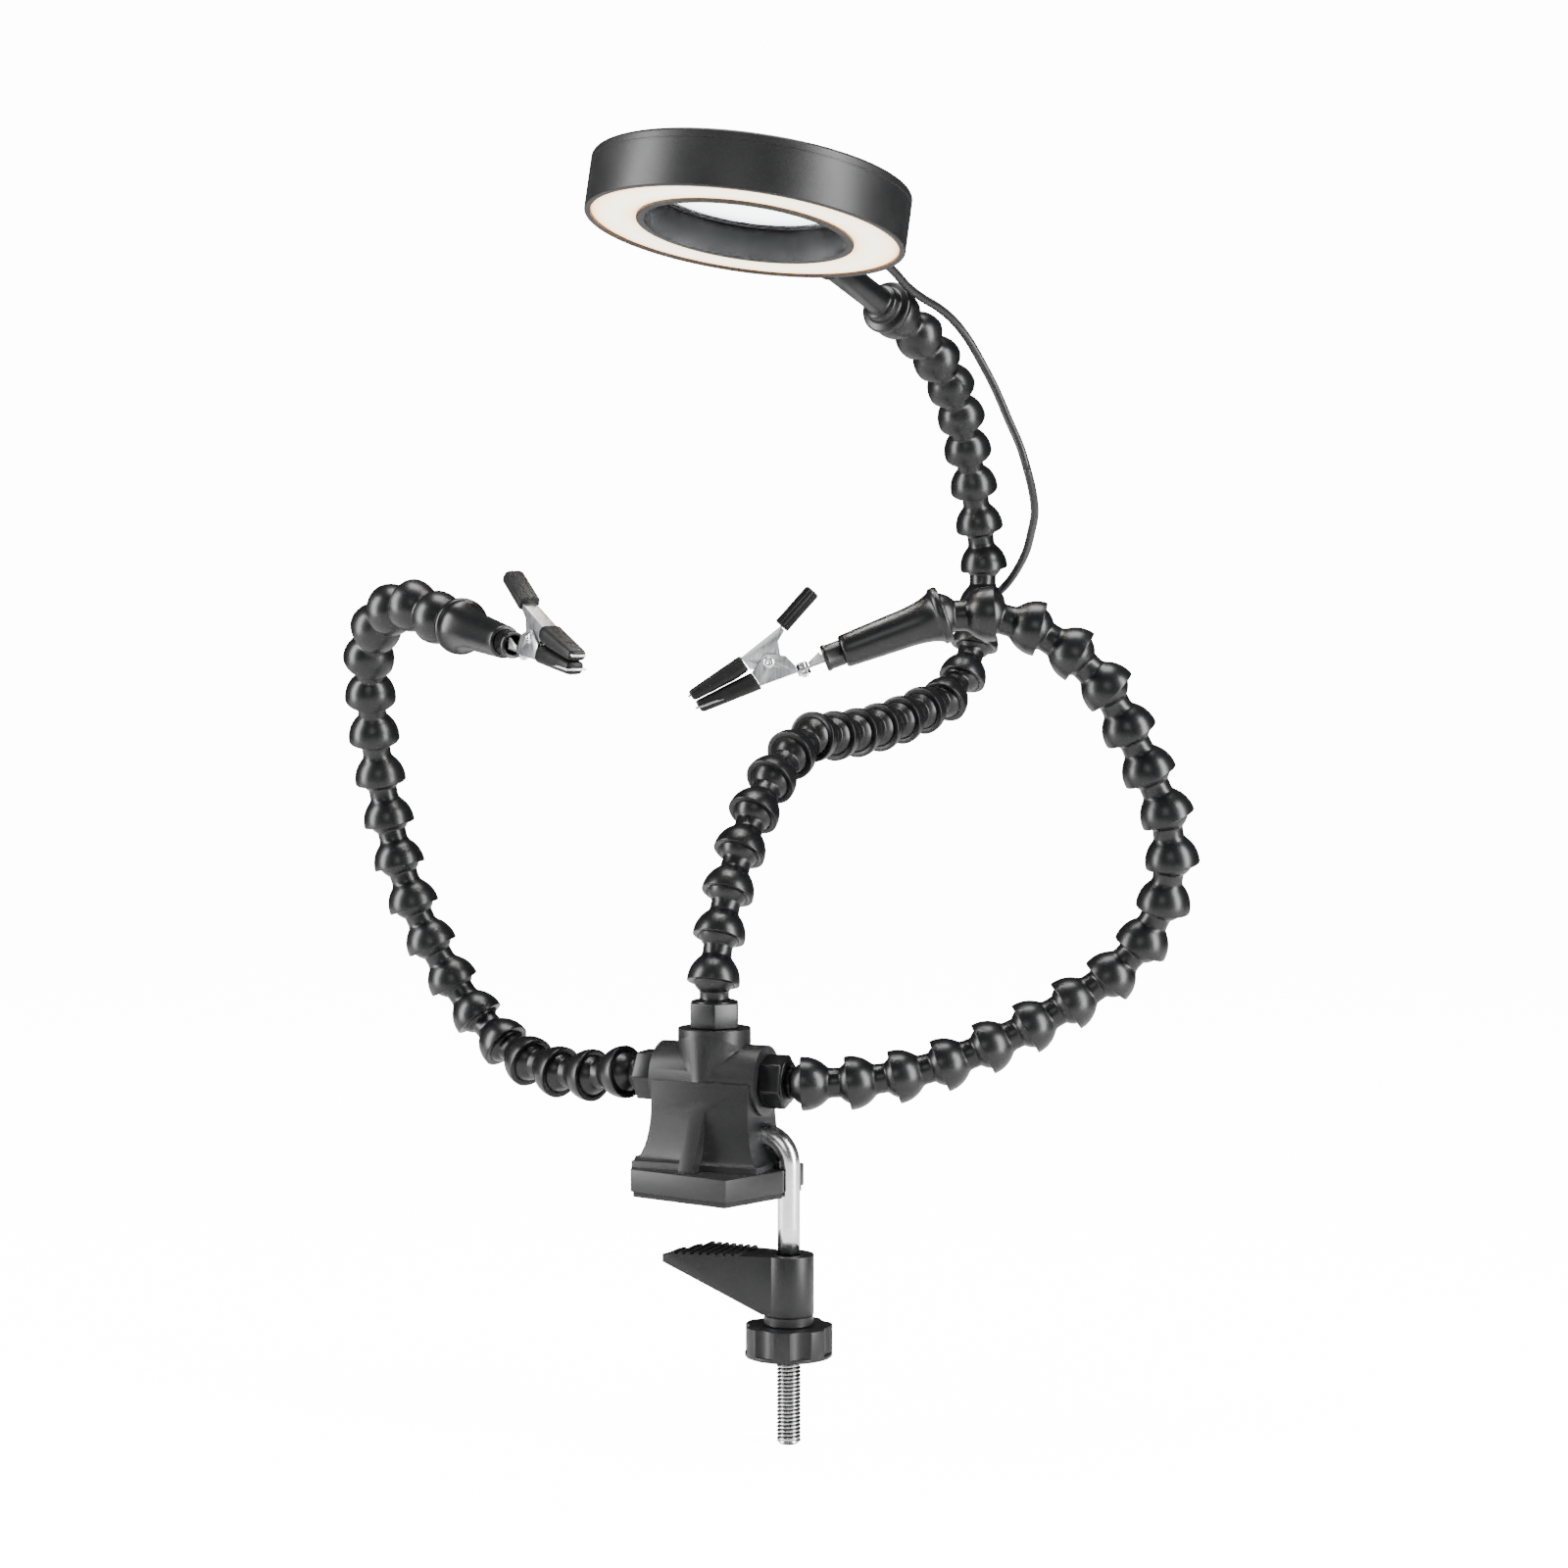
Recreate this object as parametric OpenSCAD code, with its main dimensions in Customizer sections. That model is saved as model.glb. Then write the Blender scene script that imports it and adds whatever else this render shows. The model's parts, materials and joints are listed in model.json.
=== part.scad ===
// Helping hands clamp: a table clamp that carries two ball-and-socket hoses
// with clips and one with a ring lamp. Millimetres, Z up. The origin lies on
// the rubber pad's lower face, on the axis of the block; X runs along the
// side sockets, towards the clamp rod.

/* [Hose beads] */
// Outside radius of a bead's dome
bead_r = 8.75; // [8.5:0.05:9]
// Radius of a bead's ball
ball_r = 7.4; // [7.2:0.05:7.4]
// Running clearance between ball and socket
ball_fit = 0.05; // [0.02:0.01:0.1]
// Distance from one ball to the next
pitch = 15; // [14.8:0.1:15.5]
// Radius of a bead's neck
neck_r = 5.15; // [4.8:0.05:5.3]
// How far the socket's rim reaches past the ball's centre
rim_drop = 2.5; // [2:0.1:3]
// Radius of the passage through every bead
passage_r = 2.6; // [1.5:0.1:3]

/* [Base block] */
// Height of the plate's top above the table
plate_top = 9; // [8:0.5:11]
// Thickness of the rubber pad
pad_t = 1.8; // [1:0.1:2.5]
// Height of the side sockets' axis
socket_z = 37; // [35:0.5:40]
// Radius of the side sockets
side_socket_r = 11.5; // [11:0.1:12.5]
// Half the length over the two side sockets
side_socket_x = 18.5; // [18:0.1:20]
// Radius of the top socket
top_socket_r = 11.9; // [11:0.1:12.5]
// Height of the top socket's end
top_socket_z = 53.5; // [51:0.5:54]

/* [Clamp] */
// Distance of the rod from the block's axis
rod_x = 26.2; // [26:0.1:27]
// Radius of the rod's plain shank
rod_r = 3.65; // [3.4:0.05:3.7]
// Outside radius of the rod's thread
thread_r = 4; // [3.9:0.05:4]
// Height of the rod's lower end
rod_low = -81; // [-90:1:-78]
// Height of the jaw's gripping face
jaw_top = -19; // [-22:0.5:-17]
// Height of the jaw's hub
jaw_h = 19.5; // [18:0.5:21]
// Outside radius of the hand wheel
wheel_r = 14.25; // [13.5:0.25:15]
// Height of the hand wheel
wheel_h = 10; // [9:0.5:11]

/* [Clips] */
// Length from a ball's centre to the clip holder's small end
holder_l = 31.5; // [30:0.5:33]
// Width over a clip's ears
clip_w = 6.6; // [6.2:0.1:7]
// Thickness of the clip's sheet metal
sheet_t = 0.6; // [0.5:0.1:0.7]
// Distance of the rivet from the ball's centre, along the clip
rivet_s = 54.4; // [54:0.2:55]
// Height of the rivet above the clip's axis
rivet_h = 5; // [4.5:0.1:5.5]
// Distance of the jaw tips from the ball's centre
tip_s = 81.9; // [81.5:0.1:83]

/* [Ring lamp] */
// Outside radius of the ring
ring_r = 52.5; // [50:0.5:55]
// Height of the ring
ring_h = 18.5; // [17:0.5:20]
// Outside radius of the inner barrel
barrel_r = 35.5; // [34:0.5:37]
// Radius of the lens
lens_r = 31; // [29:0.5:32]
// Number of light-emitting diodes
led_count = 24; // [12:2:36]
// Distance from the ring's centre to the lamp's ball
lamp_reach = 98; // [95:0.5:101]
// Radius of the lamp's stalk
stalk_r = 4.7; // [4.2:0.1:5]

/* [Lead] */
// Diameter of the lamp's lead
lead_d = 3; // [2.6:0.1:3.4]

/* [Hidden] */
$fn = 48;

plastic = [0.05, 0.05, 0.055];
rubber = [0.09, 0.09, 0.09];
steel = [0.72, 0.73, 0.75];
dark_steel = [0.35, 0.35, 0.37];
brass = [0.75, 0.6, 0.3];
warm_white = [1, 0.93, 0.78];

// Where each hose points along its links: link number, then a direction.
// Links between two keys turn evenly from one direction to the next.
left_keys = [
  [0, [-1, 0.3, -0.15]], [3, [-0.75, 0.35, 0.3]], [6, [-0.45, -0.2, 0.9]], [9, [-0.25, -0.05, 1.05]],
  [13, [0.25, -0.45, 0.8]], [15, [0.7, -0.55, 0.35]], [17, [0.85, -0.45, -0.25]], [19, [0.8, -0.6, -0.1]]
];
right_keys = [
  [0, [1.05, 0.35, 0.05]], [3, [0.9, 0.35, 0.4]], [6, [0.8, 0.35, 0.6]], [9, [0.2, -0.2, 0.9]],
  [11, [-0.35, -0.25, 0.95]], [13, [-0.35, -0.35, 0.8]],
  [15, [-0.85, -0.3, 0.55]], [18, [-0.85, -0.35, -0.35]]
];
lamp_keys = [
  [0, [0, 0.35, 1]], [3, [0.1, 0.65, 0.85]], [6, [0.15, 0.85, 0.3]], [7, [0.15, 1, 0]],
  [12, [0.2, 0.9, 0.25]], [14, [0.1, 0.55, 0.8]], [17, [-0.05, -0.2, 0.95]], [20, [0.05, -0.65, 0.75]],
  [24, [-0.2, -0.95, 0.4]]
];
left_links = 19;
right_links = 18;
lamp_links = 25;
// First bead of each group that moves as one, and one past the last bead
left_groups = [0, 4, 8, 12, 16, 19];
right_groups = [0, 4, 8, 12, 15, 18];
lamp_groups = [0, 5, 10, 15, 20, 25];

ball_x = side_socket_x + 15.5;
ball_z = 71;

function unit(v) = v / norm(v);
function next_key(keys, i, k = 1) = (k == len(keys) - 1 || keys[k][0] > i) ? k : next_key(keys, i, k + 1);
function link_dir(keys, i) =
  let (b = next_key(keys, i), a = b - 1, t = (i - keys[a][0]) / (keys[b][0] - keys[a][0]))
  unit(keys[a][1] * (1 - t) + keys[b][1] * t);
function link_dirs(keys, count) = [for (i = [0 : count - 1]) link_dir(keys, i)];
function ball_centres(start, dirs) =
  [for (i = 0, p = start; i <= len(dirs);
        p = p + pitch * (i < len(dirs) ? dirs[i] : [0, 0, 0]), i = i + 1) p];

left_dirs = link_dirs(left_keys, left_links);
right_dirs = link_dirs(right_keys, right_links);
lamp_dirs = link_dirs(lamp_keys, lamp_links);
left_balls = ball_centres([-ball_x, 0, socket_z], left_dirs);
right_balls = ball_centres([ball_x, 0, socket_z], right_dirs);
lamp_balls = ball_centres([0, 0, ball_z], lamp_dirs);

// Turns +Z to direction d; the side facing up is then -X
module aim(d) { rotate([0, acos(unit(d)[2]), atan2(d[1], d[0])]) children(); }
module at(p, d) { translate(p) aim(d) children(); }

// ---- Ball-and-socket hose ----

// The ball with its flat nose, on a neck that starts at z = from
module ball_on_neck_2d(from) {
  translate([0, from]) square([neck_r, pitch - from]);
  intersection() {
    translate([0, pitch]) circle(r = ball_r);
    translate([0, pitch - ball_r]) square([ball_r, ball_r + 5.9]);
  }
}

module bead_2d() {
  rim_out = sqrt(bead_r * bead_r - rim_drop * rim_drop);
  rim_in = sqrt(pow(ball_r + ball_fit, 2) - rim_drop * rim_drop);
  lip = (rim_out - rim_in) / 2;
  difference() {
    union() {
      intersection() {
        circle(r = bead_r);
        translate([0, -rim_drop]) square([bead_r, rim_drop + 7.3]);
      }
      translate([(rim_out + rim_in) / 2, -rim_drop]) circle(r = lip);
      ball_on_neck_2d(6.5);
    }
    circle(r = ball_r + ball_fit);
    translate([-bead_r, -bead_r]) square([bead_r + passage_r, 3 * bead_r + pitch]);
  }
}

module bead() { rotate_extrude() bead_2d(); }

module bead_group(balls, dirs, groups, n) {
  color(plastic)
    for (i = [groups[n - 1] : groups[n] - 1]) at(balls[i], dirs[i]) bead();
}

// Hexagonal connector: spigot in the block, hexagon, neck and first ball.
// Its ball lies at z = 0 and the hexagon's seat at z = -seat.
module connector(seat, hex_h, turn) {
  color(plastic) difference() {
    union() {
      translate([0, 0, -seat]) rotate(turn) cylinder(r = 8.95, h = hex_h, $fn = 6);
      translate([0, 0, -seat - 9]) cylinder(r = 6.5, h = 9);
      translate([0, 0, -pitch]) rotate_extrude() ball_on_neck_2d(pitch - seat + hex_h - 0.5);
    }
    translate([0, 0, -seat - 10]) cylinder(r = passage_r, h = seat + 20);
  }
}

module left_connector() { translate([-ball_x, 0, socket_z]) rotate([0, -90, 0]) connector(15.5, 7.5, 30); }
module right_connector() { translate([ball_x, 0, socket_z]) rotate([0, 90, 0]) connector(15.5, 7.5, 47); }
module lamp_connector() { translate([0, 0, ball_z]) connector(ball_z - top_socket_z, 8.5, 52.5); }

// ---- Base block ----

plate_pts = [[-30, 3], [-20, -22], [17, -30], [26.5, -6.5], [27, 11], [-28, 11]];
front_boss_h = 19;
front_boss_a = atan((top_socket_r - 2) / front_boss_h);
notch_w = 9.5;
notch_x = rod_x - notch_w / 2;

module plate_2d(inset) {
  difference() {
    polygon([for (p = plate_pts) [p[0] - sign(p[0]) * inset, p[1] - sign(p[1]) * inset]]);
    translate([rod_x, 0]) circle(d = notch_w);
    translate([rod_x, -notch_w / 2]) square([notch_w, notch_w]);
  }
}

// Quarter-hollow flare from half-width a at the top to b at the foot, as an outline of half widths
function flare(a, b, z0, z1) =
  [for (t = [0 : 10 : 90]) [b - (b - a) * sin(t), z0 + (z1 - z0) * (1 - cos(t))]];

module waist() {
  side = concat([[22, plate_top - 1]], flare(17, 22, 11, 30), [[17, socket_z]]);
  front = concat([[17, plate_top - 1]], flare(12.5, 17, 11, 30), [[12.5, socket_z]]);
  intersection() {
    rotate([90, 0, 0]) linear_extrude(60, center = true)
      polygon(concat([for (p = side) p], [for (i = [len(side) - 1 : -1 : 0]) [-side[i][0], side[i][1]]]));
    rotate([90, 0, 90]) linear_extrude(60, center = true)
      polygon(concat([for (p = front) [-p[0], p[1]]], [[10.5, socket_z], [10.5, plate_top - 1]]));
  }
}

// The top socket's front runs down to a point between the side sockets
module front_boss() {
  translate([0, -10.4, 29.5]) rotate([-front_boss_a, 0, 0])
    cylinder(r1 = 2, r2 = top_socket_r, h = front_boss_h);
}

// Sloping buttress rib on the block's front
module buttress(x, w, foot_y) {
  translate([x - w / 2, 0, 0]) rotate([90, 0, 90]) linear_extrude(w)
    polygon([[0, plate_top - 1], [foot_y, plate_top - 1], [foot_y, plate_top + 1.5], [-12, 29], [0, 29]]);
}

module base_block() {
  color(plastic) difference() {
    union() {
      translate([0, 0, pad_t]) linear_extrude(plate_top - pad_t) plate_2d(0);
      waist();
      translate([-side_socket_x, 0, socket_z]) rotate([0, 90, 0])
        cylinder(r = side_socket_r, h = 2 * side_socket_x);
      translate([0, 0, 30]) cylinder(r = top_socket_r, h = top_socket_z - 30);
      buttress(-0.5, 5.2, -22);
      front_boss();
      translate([0, 10.5, 16]) lead_hook();
    }
    // blind holes for the three connectors
    for (s = [-1, 1]) translate([s * (side_socket_x - 5), 0, socket_z]) rotate([0, 90, 0])
      cylinder(r = 6.5, h = 10.2, center = true);
    translate([0, 0, top_socket_z - 9.2]) cylinder(r = 6.5, h = 10);
    // blind hole for the rod's hook
    translate([7.8, 0, hook_z]) rotate([0, 90, 0]) cylinder(r = rod_r + 0.05, h = 20);
    // open recess under the block
    translate([-14, -9, pad_t - 1]) cube([28, 17, 8.2]);
  }
}

// Moulded hook that holds the lead against the block's back
module lead_hook() {
  difference() {
    translate([-4, -1, 0]) cube([8, 7.5, 5]);
    translate([0, 3.8, -1]) cylinder(d = lead_d + 0.2, h = 7);
  }
}

module base_pad() {
  color(rubber) linear_extrude(pad_t) plate_2d(0.6);
}

// ---- Clamp ----

hook_z = 19.5;
hook_r = 9;
thread_top = jaw_top - 4;

module clamp_rod() {
  color(steel) {
    translate([rod_x, 0, thread_top]) cylinder(r = rod_r, h = hook_z - hook_r - thread_top);
    translate([rod_x - hook_r, 0, hook_z - hook_r]) rotate([90, 0, 0]) rotate_extrude(angle = 90)
      translate([hook_r, 0]) circle(r = rod_r);
    translate([8, 0, hook_z]) rotate([0, 90, 0]) cylinder(r = rod_r, h = rod_x - hook_r - 8);
    translate([rod_x, 0, rod_low + 0.8]) cylinder(r = thread_r, h = thread_top - rod_low - 0.8);
    translate([rod_x, 0, rod_low]) cylinder(r1 = thread_r - 0.8, r2 = thread_r, h = 0.8);
  }
}

rod_hole_r = thread_r + 0.06;
jaw_pts = [[rod_x - 1.8, -7.4], [-12, -15], [-4, 7.6], [rod_x - 6.8, 6.2]];
rib_count = 9;

module clamp_jaw() {
  color(plastic) difference() {
    union() {
      translate([rod_x, 0, jaw_top - jaw_h]) cylinder(r = 8.2, h = jaw_h);
      intersection() {
        translate([0, 0, jaw_top - jaw_h]) linear_extrude(jaw_h) polygon(jaw_pts);
        rotate([90, 0, 0]) linear_extrude(60, center = true)
          polygon([[-13, jaw_top], [-13, jaw_top - 2.2], [rod_x - 6, jaw_top - jaw_h + 0.6],
                   [rod_x, jaw_top - jaw_h + 0.6], [rod_x, jaw_top]]);
      }
      // cross ribs on the gripping face
      intersection() {
        translate([0, 0, jaw_top - 0.5]) linear_extrude(1.4) polygon(jaw_pts);
        for (i = [0 : rib_count - 1]) translate([-9.5 + 2.6 * i, -20, jaw_top - 0.5]) cube([1.3, 40, 1.2]);
      }
    }
    translate([rod_x, 0, jaw_top - jaw_h - 1]) cylinder(r = rod_hole_r, h = jaw_h + 3);
  }
}

collar_h = 3.5;
wheel_top = jaw_top - jaw_h - 0.1 - collar_h;

module thrust_collar() {
  color(plastic) translate([rod_x, 0, wheel_top + 0.05]) difference() {
    cylinder(r = 8, h = collar_h);
    translate([0, 0, -1]) cylinder(r = rod_hole_r, h = collar_h + 2);
  }
}

lobes = 7;
nut_r = 6.5;

module hand_wheel() {
  color(plastic) translate([rod_x, 0, wheel_top - wheel_h]) difference() {
    union() {
      difference() {
        cylinder(r = wheel_r, h = wheel_h);
        for (i = [0 : lobes - 1]) rotate(i * 360 / lobes)
          translate([wheel_r + 5.6, 0, 1.2]) cylinder(r = 7, h = wheel_h);
      }
    }
    translate([0, 0, -1]) cylinder(r = nut_r, h = wheel_h + 2);
    translate([0, 0, -1]) cylinder(r = 9, h = 3);
  }
}

module wheel_nut() {
  color(brass) translate([rod_x, 0, wheel_top - wheel_h + 2]) difference() {
    cylinder(r = nut_r, h = wheel_h - 2);
    translate([0, 0, -1]) cylinder(r = rod_hole_r, h = wheel_h);
  }
}

// ---- Clips ----
// Each clip is drawn with the last ball at the origin and its axis along +Z.
// Side outlines are [distance along the axis, height], where up is -X.

left_clip_dir = [0.8, -0.6, -0.15];
right_clip_dir = [-0.86, -0.38, -0.35];

module at_left_clip() { at(left_balls[left_links], left_clip_dir) children(); }
module at_right_clip() { at(right_balls[right_links], right_clip_dir) children(); }
module side(w) { rotate([0, -90, 0]) rotate([90, 0, 0]) linear_extrude(w, center = true) children(); }
module ears(w, t) {
  for (s = [-1, 1]) translate([0, s * (w - t) / 2, 0]) side(t) children();
}
module across(s, h) { translate([-h, 0, s]) rotate([90, 0, 0]) children(); }

module clip_holder() {
  color(plastic) rotate_extrude() difference() {
    union() {
      polygon(concat(
        [[0, -rim_drop], [8.8, -rim_drop], [9.2, -rim_drop + 0.6], [9.1, 0]],
        [for (t = [15 : 15 : 90]) [9.1 - 3.1 * sin(t), 14 * (1 - cos(t))]],
        [[5.2, holder_l - 0.5], [4.8, holder_l], [0, holder_l]]));
    }
    circle(r = ball_r + ball_fit);
    translate([-10, -5]) square([10 + passage_r, 50]);
    translate([0, holder_l - 12]) square([3.7, 15]);
  }
}

module clip_collar() {
  color(plastic) rotate_extrude() difference() {
    union() {
      translate([0, holder_l - 8]) square([3.7, 8]);
      translate([0, holder_l]) square([4, 6.3]);
      translate([0, holder_l + 4.9]) square([4.3, 1.4]);
    }
    translate([-1, holder_l - 9]) square([1 + 2.9, 20]);
  }
}

ear_out = clip_w;
tail_s = holder_l - 5;

module frame_web(w, grow = 0) {
  side(w) polygon([[tail_s, -1.1 - grow], [tail_s, -0.5 + grow], [62, -0.5 + grow], [tip_s - 1, -0.2 + grow],
                   [tip_s - 1, -0.8 - grow], [62, -1.1 - grow]]);
}

module clip_frame() {
  color(steel) {
    ears(ear_out, sheet_t) difference() {
      union() {
        polygon([[47, -1.1], [47, 1.2], [48.8, 5.1], [rivet_s - 1.4, rivet_h + 2.2],
                 [rivet_s + 2.2, rivet_h + 1.3], [60.5, 3.85], [59.35, -1.1]]);
        translate([rivet_s, rivet_h]) circle(r = 2.6);
      }
      translate([rivet_s, rivet_h]) circle(r = 0.95);
    }
    // web under the ears, and the lower jaw
    intersection() {
      frame_web(ear_out);
      side(ear_out) polygon([[47, -5], [47, 5], [tip_s, 5], [tip_s, -5]]);
    }
    // tail in the collar, with low flanges
    difference() {
      intersection() {
        frame_web(4.4);
        side(4.4) polygon([[tail_s, -5], [tail_s, 5], [48, 5], [48, -5]]);
      }
      translate([0, 0, 45]) rotate([0, 90, 0]) cylinder(r = 1.05, h = 10, center = true);
    }
    ears(4.4, sheet_t) polygon([[32, -1.1], [32, 1.5], [38.2, 1.5], [38.6, 2.6], [42.8, 0.6], [42.8, -1.1]]);
  }
}

module clip_jaw_sleeve() {
  color(rubber) difference() {
    side(ear_out + 1) polygon([[59.2, -2], [60.6, 3.9], [67.4, 3.2], [79.6, 1.72], [80.3, 1.3], [80.2, -2],
                               [79.4, -2.5]]);
    frame_web(ear_out + 0.02, 0.02);
  }
}

lever_w = ear_out - 2 * sheet_t - 0.6;
handle_angle = 28;

module at_handle() { translate([-rivet_h, 0, rivet_s]) rotate([0, handle_angle, 0]) children(); }

module lever_web(w, grow = 0) {
  side(w) polygon([[33.86, 20.68 - grow], [34.14, 21.21 + grow], [47.17, 14.28 + grow], [62.6, 9.3 + grow],
                   [tip_s, 4 + grow], [tip_s - 0.1, 3.4 - grow], [62.4, 8.7 - grow], [47.1, 13.64 - grow]]);
}

module clip_lever() {
  color(steel) {
    ears(lever_w, sheet_t) difference() {
      union() {
        translate([rivet_s, rivet_h]) circle(r = 2.4);
        polygon([[46.9, 14.2], [46.4, 12.6], [49.4, 10.2], [50.2, 6], [52.6, 3.2], [57.2, 3.4], [60.75, 5.1],
                 [62.05, 9.3]]);
      }
      translate([rivet_s, rivet_h]) circle(r = 0.95);
    }
    lever_web(lever_w);
  }
}

module clip_lever_sleeves() {
  color(rubber) {
    difference() {
      side(ear_out + 1) polygon([[61, 4.9], [62.3, 10.1], [81.3, 5.3], [80.6, 2.1], [79.8, 1.85],
                                   [67.4, 3.35]]);
      lever_web(lever_w + 0.02, 0.02);
    }
    at_handle() difference() {
      side(ear_out + 0.4) polygon([[-25.2, 2], [-26, 2.8], [-26, 6.3], [-25.2, 7.1], [-11.7, 7.1],
                                   [-11.1, 6.5], [-11.1, 2.6], [-11.7, 2]]);
      side(lever_w + 0.02) polygon([[-25.52, 4.18], [-25.52, 4.82], [-10, 4.82], [-10, 4.18]]);
    }
  }
}

module clip_rivet() {
  color(steel) across(rivet_s, rivet_h) {
    cylinder(r = 0.9, h = ear_out + 0.04, center = true);
    for (s = [-1, 1]) translate([0, 0, s * (ear_out / 2 + 0.32)]) cylinder(r = 1.7, h = 0.6, center = true);
  }
}

// The torsion spring's coil, as a sleeve of its outside size
module clip_spring() {
  color(dark_steel) across(rivet_s, rivet_h) difference() {
    cylinder(r = 1.9, h = lever_w - 2 * sheet_t - 0.4, center = true);
    cylinder(r = 1.1, h = 10, center = true);
  }
}

module clip_screw() {
  color(steel) translate([0, 0, 45]) rotate([0, 90, 0]) {
    translate([0, 0, -0.4]) cylinder(r = 1, h = 3.8);
    translate([0, 0, -1.5]) cylinder(r = 1.9, h = 1.95);
    translate([0, 0, 1.15]) cylinder(r = 2.1, h = 1.5, $fn = 6);
  }
}

// ---- Ring lamp ----
// Drawn with the lamp's ball at the origin; the ring's centre lies on -X.

lamp_turn = [2, 11, 80];
stalk_rise = 5;
wall_t = 2;
cover_t = 2;
lens_z = ring_h - 6;

module at_lamp() { translate(lamp_balls[lamp_links]) rotate(lamp_turn) children(); }
module at_ring() { at_lamp() translate([-lamp_reach, 0, 0]) children(); }
stalk_dir = unit([-(lamp_reach - ring_r), 0, stalk_rise]);
stalk_l = norm([lamp_reach - ring_r, 0, stalk_rise]);

module lamp_stalk() {
  color(plastic) at_lamp() aim(stalk_dir) rotate_extrude() difference() {
    union() {
      intersection() {
        circle(r = bead_r);
        translate([0, -rim_drop]) square([bead_r, rim_drop + 8]);
      }
      translate([0, 5]) square([9.3, 2.6]);
      translate([0, 5]) square([6.4, 7]);
      translate([0, 5]) square([stalk_r, stalk_l - 5.2]);
    }
    circle(r = ball_r + ball_fit);
    translate([-10, -5]) square([10 + passage_r - 1, 100]);
  }
}

module lamp_housing() {
  color(plastic) at_ring() {
    rotate_extrude() difference() {
      union() {
        translate([barrel_r + 0.1, 0]) square([ring_r - barrel_r - 0.1 - 1.2, ring_h]);
        translate([barrel_r + 0.1, 0]) square([ring_r - barrel_r - 0.1, ring_h - 1.2]);
        translate([ring_r - 1.2, ring_h - 1.2]) circle(r = 1.2);
      }
      translate([0, -1]) square([ring_r - wall_t, ring_h + 1 - cover_t]);
    }
  }
}

module lamp_barrel() {
  color(plastic) at_ring() rotate_extrude() difference() {
    translate([lens_r, 0]) square([barrel_r - lens_r, ring_h]);
    translate([0, -1]) square([lens_r + 2, lens_z - 0.9]);
    translate([0, lens_z - 2]) square([lens_r + 0.1, 4.2]);
  }
}

module lamp_diffuser() {
  color(warm_white) at_ring() rotate_extrude()
    translate([barrel_r + 0.1, 0.4]) square([ring_r - wall_t - barrel_r - 0.2, 2]);
}

lens_bulge = 4;

module lamp_lens() {
  edge_t = 2;
  big_r = (lens_r * lens_r + lens_bulge * lens_bulge) / (2 * lens_bulge);
  color([0.8, 0.9, 0.95, 0.4]) at_ring() translate([0, 0, lens_z])
    rotate_extrude() intersection() {
      translate([0, big_r - lens_bulge - edge_t / 2]) circle(r = big_r, $fn = 200);
      translate([0, lens_bulge + edge_t / 2 - big_r]) circle(r = big_r, $fn = 200);
      translate([0, -6]) square([lens_r, 12]);
    }
}

led_ring_r = (barrel_r + ring_r) / 2 - 0.5;

module lamp_led_board() {
  at_ring() {
    color([0.9, 0.9, 0.88]) translate([0, 0, 8]) rotate_extrude()
      translate([barrel_r + 0.1, 0]) square([ring_r - wall_t - barrel_r - 0.2, 1.6]);
    color([0.95, 0.9, 0.6]) for (i = [0 : led_count - 1]) rotate(i * 360 / led_count)
      translate([led_ring_r, 0, 7.45]) cube([3.5, 2.8, 1], center = true);
  }
}

// ---- Lead ----
// The lead leaves the ring's wall, bows outwards and then follows the hose's
// far side down to a hook on the block; the rest lies coiled behind the block.

lead_side = [-0.38, 0.92, -0.05];
lead_gap = 10.6;
lead_sides = 8;

function tangent(i) = unit(lamp_dirs[max(0, min(lamp_links - 1, floor(i - 0.5)))]
                         + lamp_dirs[max(0, min(lamp_links - 1, ceil(i - 0.5)))]);
function off_axis(i) = unit(lead_side - (lead_side * tangent(i)) * tangent(i));
function on_axis(i) = let (k = floor(i)) lamp_balls[k] + (i - k) * pitch * lamp_dirs[min(k, lamp_links - 1)];
function beside(i) = on_axis(i) + lead_gap * off_axis(i);
function run_beside(from, to) = [for (i = [from : 0.5 : to]) beside(i)];

// A closed tube through the points p
module tube(p, d) {
  n = len(p);
  tan = [for (i = [0 : n - 1]) unit(p[min(i + 1, n - 1)] - p[max(i - 1, 0)])];
  ref = [0.31, 0.17, 0.94];
  side_v = [for (t = tan) unit(cross(t, abs(t * ref) > 0.95 ? [1, 0, 0] : ref))];
  rings = [for (i = [0 : n - 1]) let (u = side_v[i], v = cross(tan[i], u))
    for (k = [0 : lead_sides - 1])
      p[i] + d / 2 * (u * cos(360 * k / lead_sides) + v * sin(360 * k / lead_sides))];
  skin = [for (i = [0 : n - 2]) for (k = [0 : lead_sides - 1]) let (m = (k + 1) % lead_sides)
    [i * lead_sides + k, i * lead_sides + m, (i + 1) * lead_sides + m, (i + 1) * lead_sides + k]];
  polyhedron(points = rings, faces = concat(
    [for (f = skin) [f[3], f[2], f[1], f[0]]],
    [[for (k = [0 : lead_sides - 1]) k]],
    [[for (k = [lead_sides - 1 : -1 : 0]) (n - 1) * lead_sides + k]]));
}

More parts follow.
